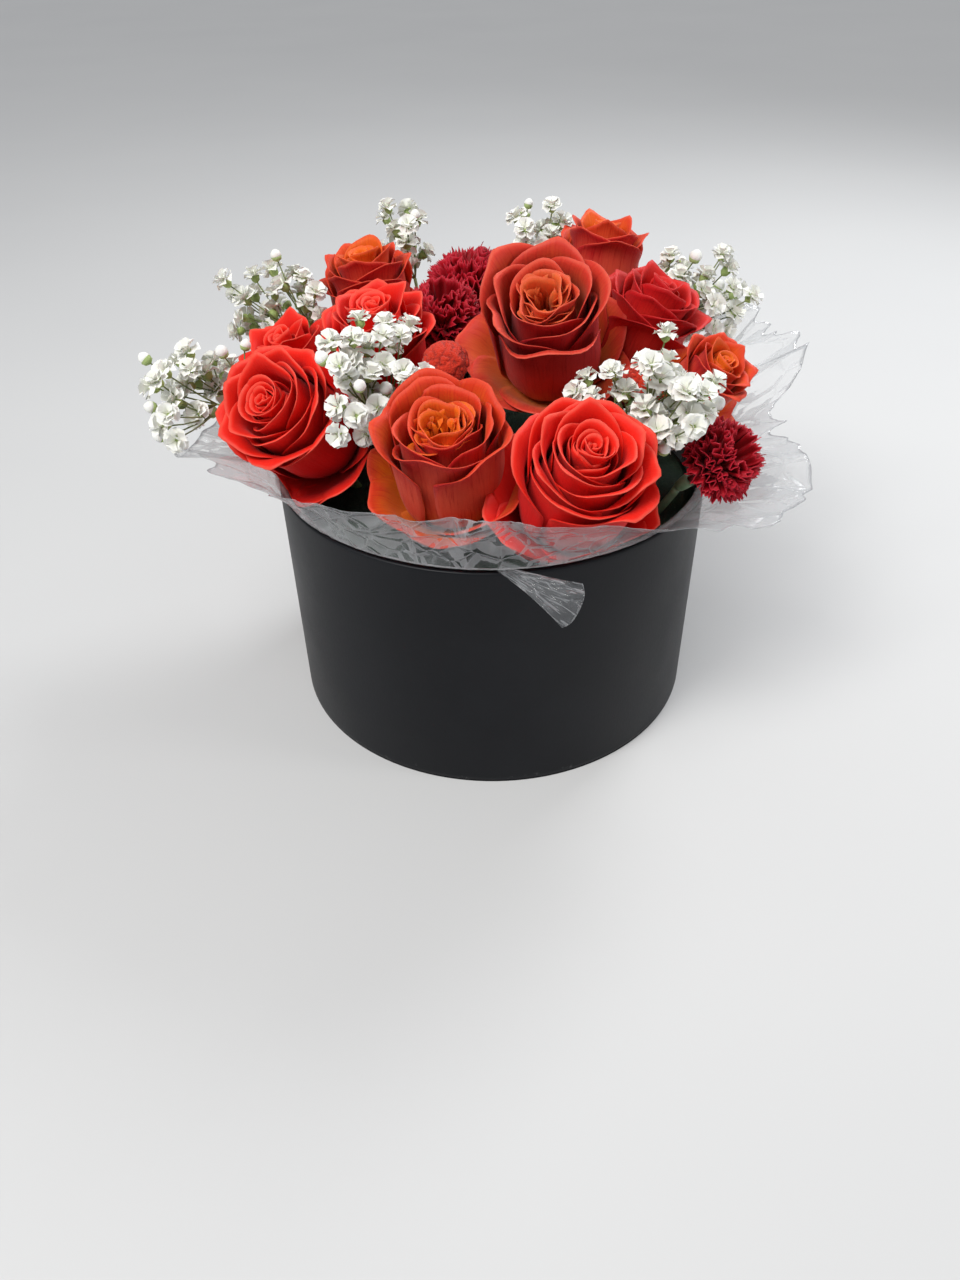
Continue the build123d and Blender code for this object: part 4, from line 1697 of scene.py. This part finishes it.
@dataclass
class Film:
    """The clear film that lines the box, folds over its rim and stands up round the flowers.

    Its thickness and cut are in metres; the wall, pleats, floor, rim and tail are in millimetres.
    """

    finish: bpy.types.Material
    seed: int = 5
    columns: int = 648
    thick: float = 0.09 * MM
    wall: float = 96.6
    pleats: int = 54
    pleat_depth: float = 0.8
    pleat_lap: float = 4.8
    cut: float = 0.49
    floor: float = 3.1
    rim: float = 118.75
    collar_rows: int = 34
    tail_root: tuple = (2.0, -100.0, 121.0)
    tail_tip: tuple = (33.5, -122.0, 116.0)

    def build(self) -> None:
        """Makes the film as one sheet."""
        heap = Heap()
        self._ring(heap, np.array(self._rows(np.linspace(-180, 180, self.columns + 1))))
        self._tail(heap)
        piece = heap.piece("film_collar", self.finish)
        settle(piece, "arrangement", "clear_film", "film_liner")

    def _rows(self, turn: np.ndarray) -> list:
        """Rings of points from the middle of the box's floor to the free edge.

        Args:
            turn: degrees round the box, the last the same as the first.

        Returns:
            A list of (columns, 3) arrays in metres.
        """
        out, up, crush = (film_edge(turn, key) for key in ("out", "up", "crush"))
        angle = np.radians(turn)
        ways = [Vector((math.cos(a), math.sin(a), 0)) for a in angle]
        rows = []
        for radius in (2.0, 30.0, 60.0, 84.0, 92.5):
            rows.append(self._ring_row(angle, radius, self.floor))
        pleat = np.sin(angle * self.pleats)
        for share in np.linspace(0.03, 0.985, 9):
            height = self.floor + (self.rim - 1.2 - self.floor) * share
            fold = pleat * min(1.0, 8 * share, 8 * (1 - share))
            rows.append(self._ring_row(angle + fold * self.pleat_lap / self.wall,
                                       self.wall - fold * self.pleat_depth, height))
        for radius, lift in ((97.6, 0.35), (99.2, 0.55)):
            rows.append(self._ring_row(angle, radius, self.rim + lift))
        for step in range(1, self.collar_rows + 1):
            t = step / self.collar_rows
            base = flare(t, out) - 1.6 * math.sin(math.pi * t)
            height = self.rim + 0.5 + (up - self.rim - 0.5) * (0.86 * t + 0.14 * t ** 0.6)
            fold = self._crumple(ways, t)
            size = crush * (0.25 + 3.0 * t ** 0.8)
            wander = np.array([noise.noise(way * 9.0 + Vector((7, t * 1.5, self.seed))) for way in ways])
            rows.append(self._ring_row(angle + wander * 0.018 * t, base + fold * size,
                                       height + fold * size * 0.35 + wander * 3.0 * t * crush))
        return rows

    def _crumple(self, ways: list, t: float) -> np.ndarray:
        """How far the film stands in or out at one height: long sharp pleats and smaller facets."""
        made = []
        for way in ways:
            lean = 0.22 * noise.noise(way * 3.0 + Vector((0, 0, t * 0.8)))
            spot = Matrix.Rotation(lean * t, 3, "Z") @ way
            long = 1 - 4.0 * abs(noise.noise(spot * 6.5 + Vector((0, 0, t * 0.45 + self.seed))))
            facet = 1 - 4.0 * abs(noise.noise(spot * 14.0 + Vector((3, 1, t * 1.9))))
            small = noise.noise(spot * 38.0 + Vector((5, 2, t * 4.5)))
            made.append(0.85 * long + 0.42 * facet + 0.08 * small)
        return np.array(made)

    @staticmethod
    def _ring_row(angle: np.ndarray, radius: object, height: object) -> np.ndarray:
        """One ring of points, from millimetres to metres."""
        level = np.broadcast_to(height, angle.shape)
        return np.stack([radius * np.cos(angle), radius * np.sin(angle), level], axis=1) * MM

    def _ring(self, heap: Heap, points: np.ndarray) -> None:
        """Adds the lining and collar, closed round the box and in the middle of its floor.

        Args:
            heap: what it is added to.
            points: (rows, columns, 3); the last column repeats the first.
        """
        points = points[:, :-1]
        rows, columns = points.shape[:2]
        ahead = np.roll(points, -1, axis=1) - np.roll(points, 1, axis=1)
        upward = np.gradient(points, axis=0)
        normal = np.cross(ahead, upward)
        normal /= np.maximum(np.linalg.norm(normal, axis=2, keepdims=True), 1e-12)
        both = [points + normal * self.thick / 2, points - normal * self.thick / 2]
        n = rows * columns
        faces = []
        for row in range(rows - 1):
            for i in range(columns):
                j = (i + 1) % columns
                base, above = row * columns, (row + 1) * columns
                quad = (base + i, base + j, above + j, above + i)
                faces.append(quad)
                faces.append(tuple(k + n for k in reversed(quad)))
        top = (rows - 1) * columns
        for i in range(columns):
            j = (i + 1) % columns
            faces.append((top + i, top + j, top + n + j, top + n + i))
        faces.append(tuple(reversed(range(columns))))
        faces.append(tuple(n + i for i in range(columns)))
        lining = rows - self.collar_rows
        v = np.concatenate([np.linspace(0.0, 0.5, lining), np.linspace(0.5, 1.0, self.collar_rows + 1)[1:]])
        uvs = np.stack(np.broadcast_arrays(np.linspace(0, 1, columns)[None, :], v[:, None]), axis=2)
        flat = uvs.reshape(-1, 2)
        heap.add(np.vstack([layer.reshape(-1, 3) for layer in both]), faces, np.vstack([flat, flat]))

    def _tail(self, heap: Heap) -> None:
        """Adds the loose twisted corner that lies over the front of the rim."""
        u, v, faces = grid_template(22, 36)
        root, tip = Vector(self.tail_root) * MM, Vector(self.tail_tip) * MM
        side = Vector((-0.25, -0.55, -0.80)).normalized()
        rise = Vector((0.0, -0.75, 0.66)).normalized()
        places = np.zeros(u.shape + (3,))
        for row in range(u.shape[0]):
            for column in range(u.shape[1]):
                across, along = float(u[row, column]), float(v[row, column])
                width = ease(along ** 1.3, 1.3, 9.5) * MM
                trim = 1.0 - 0.10 * (across * 0.5 + 0.5) ** 2 - 0.06 * across ** 4
                crease = 1 - 4 * abs(noise.noise(Vector((across * 2.0, along * 2.2, 2.0))))
                lift = (0.9 * crease + 1.2 * math.sin(across * 5 - along * 4) * along) * MM
                bow = 3.2 * MM * math.sin(math.pi * along)
                spot = root.lerp(tip, along * trim) + side * across * width + rise * (lift + bow)
                places[row, column] = spot[:]
        uvs = np.stack([0.02 + 0.06 * u, 0.55 + 0.44 * v], axis=2)
        add_sheet(heap, places, faces, uvs, self.thick, 0.0, np.zeros_like(u))


# ---------------------------------------------------------------- the box


@dataclass
class WrappedBox:
    """The round box: board and foam as they are in the frame, and the paper wrapped round the wall."""

    paper: bpy.types.Material
    board: bpy.types.Material
    foam: bpy.types.Material
    outside: float = 100.0 * MM
    board_thick: float = 2.2 * MM
    thick: float = 0.38 * MM
    segments: int = 288
    seam_half: float = 5.0 * MM
    wall_rows: tuple = (0.02, 0.06, 0.2, 0.4, 0.6, 0.8, 0.94, 0.98)

    def build(self) -> None:
        """Dresses the carried-over parts and makes the paper."""
        for node, material in (("box_wall", self.board), ("box_base", self.board), ("base_paper", self.paper),
                               ("foam_block", self.foam)):
            part = frame["nodes"][node]
            part.data.materials.clear()
            part.data.materials.append(material)
            LOG.info("%s carried over", node)
        settle(self._wrap(), "box", "black_paper", "wall_paper")

    def _profile(self) -> list:
        """Radius and height of the paper's middle from its lower edge, over the rim and down inside."""
        low, high = (corner.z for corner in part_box("wall_paper"))
        outer = self.outside - self.thick / 2
        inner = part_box("box_wall")[1].x - self.board_thick - self.thick / 2
        top = high - self.thick / 2
        bend = 0.75 * MM
        rows = [(outer - 0.3 * MM, low), (outer, low + 0.5 * MM)]
        rows += [(outer, low + (top - low) * share) for share in self.wall_rows]
        quarter = [math.pi / 2 * step / 4 for step in range(5)]
        rows += [(outer - bend + bend * math.cos(a), top - bend + bend * math.sin(a)) for a in quarter]
        rows += [(inner + bend - bend * math.sin(a), top - bend + bend * math.cos(a)) for a in quarter]
        rows += [(inner, top - 5 * MM), (inner, top - 14.6 * MM)]
        return rows

    def _wrap(self) -> bpy.types.Object:
        """Extrudes a ring along the profile, thickens it and lays the overlapped seam on it."""
        rows = self._profile()
        bpy.ops.object.select_all(action="DESELECT")
        edge, foot = rows[0]
        bpy.ops.mesh.primitive_circle_add(vertices=self.segments, radius=edge, location=(0, 0, foot))
        wrap = bpy.context.active_object
        wrap.name = "paper_wrap"
        bpy.ops.object.transform_apply(location=True, rotation=True, scale=True)
        bpy.ops.object.mode_set(mode="EDIT")
        bpy.ops.mesh.select_all(action="SELECT")
        for (radius, height), (wider, higher) in zip(rows, rows[1:]):
            bpy.ops.mesh.extrude_region_move(TRANSFORM_OT_translate={"value": (0, 0, higher - height)})
            if abs(wider - radius) > 1e-9:
                grow = wider / radius
                bpy.ops.transform.resize(value=(grow, grow, 1.0), center_override=(0, 0, 0))
        bpy.ops.mesh.select_all(action="SELECT")
        bpy.ops.mesh.normals_make_consistent(inside=False)
        bpy.ops.object.mode_set(mode="OBJECT")
        solid = wrap.modifiers.new("paper thickness", "SOLIDIFY")
        solid.thickness = self.thick
        solid.offset = 0.0
        bpy.ops.object.modifier_apply(modifier=solid.name)
        self._join_seam(wrap, foot, rows[1 + len(self.wall_rows)][1])
        wrap.data.materials.append(self.paper)
        bpy.ops.object.shade_smooth_by_angle(angle=math.radians(40))
        return wrap

    def _join_seam(self, wrap: bpy.types.Object, low: float, high: float) -> None:
        """Lays the paper's overlap down the back of the wall.

        Args:
            wrap: the paper, which the overlap becomes part of.
            low: the height of the wall's lower edge.
            high: the height where the wall turns over the rim.
        """
        bpy.ops.object.select_all(action="DESELECT")
        bpy.ops.mesh.primitive_grid_add(x_subdivisions=10, y_subdivisions=24, size=2.0)
        strip = bpy.context.active_object
        clear = 0.8 * MM
        for vertex in strip.data.vertices:
            edge = 0.0 if abs(vertex.co.x) > 0.95 or abs(vertex.co.y) > 0.98 else 0.16 * MM
            angle = math.pi / 2 - vertex.co.x * self.seam_half / self.outside
            radius = self.outside - 0.02 * MM + edge
            height = low + clear + (high - low - clear) * (vertex.co.y + 1) / 2
            vertex.co = (radius * math.cos(angle), radius * math.sin(angle), height)
        solid = strip.modifiers.new("overlap", "SOLIDIFY")
        solid.thickness = 0.15 * MM
        solid.offset = -1.0
        bpy.ops.object.modifier_apply(modifier=solid.name)
        bpy.ops.object.select_all(action="DESELECT")
        strip.select_set(True)
        wrap.select_set(True)
        bpy.context.view_layer.objects.active = wrap
        bpy.ops.object.join()


# ---------------------------------------------------------------- the studio


@dataclass(frozen=True)
class Softbox:
    """A square soft light: its place and side in metres, its power in watts and its colour."""

    name: str
    place: tuple
    size: float
    power: float
    colour: tuple


SOFTBOXES = (
    Softbox("key_softbox", (-0.62, -0.62, 1.15), 0.42, 9.0, (1.0, 0.985, 0.96)),
    Softbox("back_softbox", (0.60, 0.70, 0.95), 0.40, 7.0, (0.97, 0.985, 1.0)),
    Softbox("side_strip", (1.05, -0.30, 0.60), 0.25, 2.2, (1.0, 0.99, 0.98)),
)


@dataclass
class Studio:
    """Pale floor, soft lights and the camera."""

    floor: bpy.types.Material
    camera_place: tuple = (0.0, -0.4105, 0.3325)
    right: tuple = (0.99987, 0.00494, -0.01559)
    up: tuple = (0.00911, 0.62359, 0.78170)
    ahead: tuple = (-0.01358, 0.78173, -0.62346)
    lens: float = 26.95
    aim: tuple = (0, 0, 0.14)

    def build(self) -> None:
        """Makes the stage."""
        bpy.ops.object.select_all(action="DESELECT")
        below = (0, 0, -0.2 * MM)
        bpy.ops.mesh.primitive_grid_add(x_subdivisions=8, y_subdivisions=8, size=16.0, location=below)
        ground = bpy.context.active_object
        ground.name = "studio_ground"
        ground.data.materials.append(self.floor)
        for box in SOFTBOXES:
            self._lamp(box)
        self._sky_lamp()
        self._world()
        self._camera()

    def _lamp(self, box: Softbox) -> None:
        """Adds one square soft light aimed at the flowers."""
        data = bpy.data.lights.new(box.name, "AREA")
        data.size = box.size
        data.energy = box.power
        data.color = box.colour
        lamp = bpy.data.objects.new(box.name, data)
        lamp.location = box.place
        lamp.rotation_euler = (Vector(self.aim) - Vector(box.place)).to_track_quat("-Z", "Y").to_euler()
        bpy.context.scene.collection.objects.link(lamp)

    def _sky_lamp(self) -> None:
        """Adds one broad, even light from high up in front."""
        data = bpy.data.lights.new("ceiling_light", "SUN")
        data.energy = 1.15
        data.angle = math.radians(35)
        lamp = bpy.data.objects.new("ceiling_light", data)
        lamp.rotation_euler = (math.radians(24), math.radians(-16), 0)
        bpy.context.scene.collection.objects.link(lamp)

    def _world(self) -> None:
        """Sets an even pale surround."""
        world = bpy.data.worlds.new("studio_air")
        world.use_nodes = True
        air = world.node_tree.nodes["Background"]
        air.inputs["Color"].default_value = (0.92, 0.95, 1.0, 1.0)
        air.inputs["Strength"].default_value = 0.34
        bpy.context.scene.world = world

    def _camera(self) -> None:
        """Places the camera, and keeps the reds deep with a plain view transform."""
        data = bpy.data.cameras.new("view_camera")
        data.lens = self.lens
        data.sensor_width = 36.0
        data.clip_start = 0.01
        data.clip_end = 60.0
        camera = bpy.data.objects.new("view_camera", data)
        back = -Vector(self.ahead)
        turn = Matrix((self.right, self.up, back)).transposed().to_4x4()
        camera.matrix_world = Matrix.Translation(Vector(self.camera_place)) @ turn
        bpy.context.scene.collection.objects.link(camera)
        bpy.context.scene.camera = camera
        bpy.context.scene.view_settings.view_transform = "Standard"


def main() -> None:
    """Builds every sub-assembly in order."""
    logging.basicConfig(level=logging.INFO, format="%(name)s: %(message)s", stream=sys.stdout)
    scarlet, coral, flame, peach, crimson = (
        finish.build() for finish in (SCARLET, CORAL, FLAME, PEACH, CRIMSON))
    rose_green, carnation_green, breath_green = (
        finish.build() for finish in (ROSE_GREEN, CARNATION_GREEN, BREATH_GREEN))
    white, plush = WhitePetalFinish().build(), PlushFinish().build()
    WrappedBox(CoveringPaperFinish().build(), BoardFinish().build(), FoamFinish().build()).build()
    Film(FilmFinish().build()).build()
    plants = [Plant.read(body) for body in frame["bodies"]
              if not body.startswith(("box", "arrangement", "breath", "root"))]
    heads = [(plant.centre, plant.radius) for plant in plants]
    paths = [(plant.centre + plant.axis * lift * MM, plant.radius * 1.04) for plant in plants
             for lift in range(0, PULL + 1, 10)]
    for rose in (
        Rose("red_rose_left", scarlet, "red_petals", rose_green, SPIRAL, 11),
        Rose("red_rose_right", scarlet, "red_petals", rose_green, OPEN_SPIRAL, 12),
        Rose("red_rose_middle", scarlet, "red_petals", rose_green, SPIRAL, 13),
        Rose("red_rose_back_left", scarlet, "red_petals", rose_green, HALF_OPEN, 14),
        Rose("coral_rose_right", coral, "coral_petals", rose_green, OPEN_SPIRAL, 15, depth=0.8),
        Rose("orange_rose_front", flame, "orange_petals", rose_green, CUPPED, 16, depth=0.62),
        Rose("orange_rose_top", peach, "orange_petals", rose_green, CUPPED, 17, depth=0.95),
        Rose("orange_rose_back_left", flame, "orange_petals", rose_green, OPEN_SPIRAL, 18),
        Rose("orange_rose_back", flame, "orange_petals", rose_green, HALF_OPEN, 19),
        Rose("small_orange_rose", flame, "orange_petals", rose_green, HALF_OPEN, 20),
    ):
        rose.heads = heads
        rose.build()
    for seed, name in enumerate(("carnation_back", "carnation_middle", "carnation_right")):
        Carnation(name, crimson, carnation_green, 30 + seed).build()
    for seed, name in enumerate(("celosia_middle", "celosia_right")):
        Celosia(name, plush, rose_green, 40 + seed).build()
    taken: list = []
    for seed, (name, companions) in enumerate((
        ("breath_left", 2), ("breath_back_left", 2), ("breath_middle", 3), ("breath_back", 1),
        ("breath_back_middle", 1), ("breath_back_right", 2), ("breath_right", 3),
    )):
        BreathSprig(name, white, breath_green, 50 + seed, companions=companions, heads=paths,
                    taken=taken).build()
    Studio(FloorFinish().build()).build()


if __name__ == "__main__":
    main()
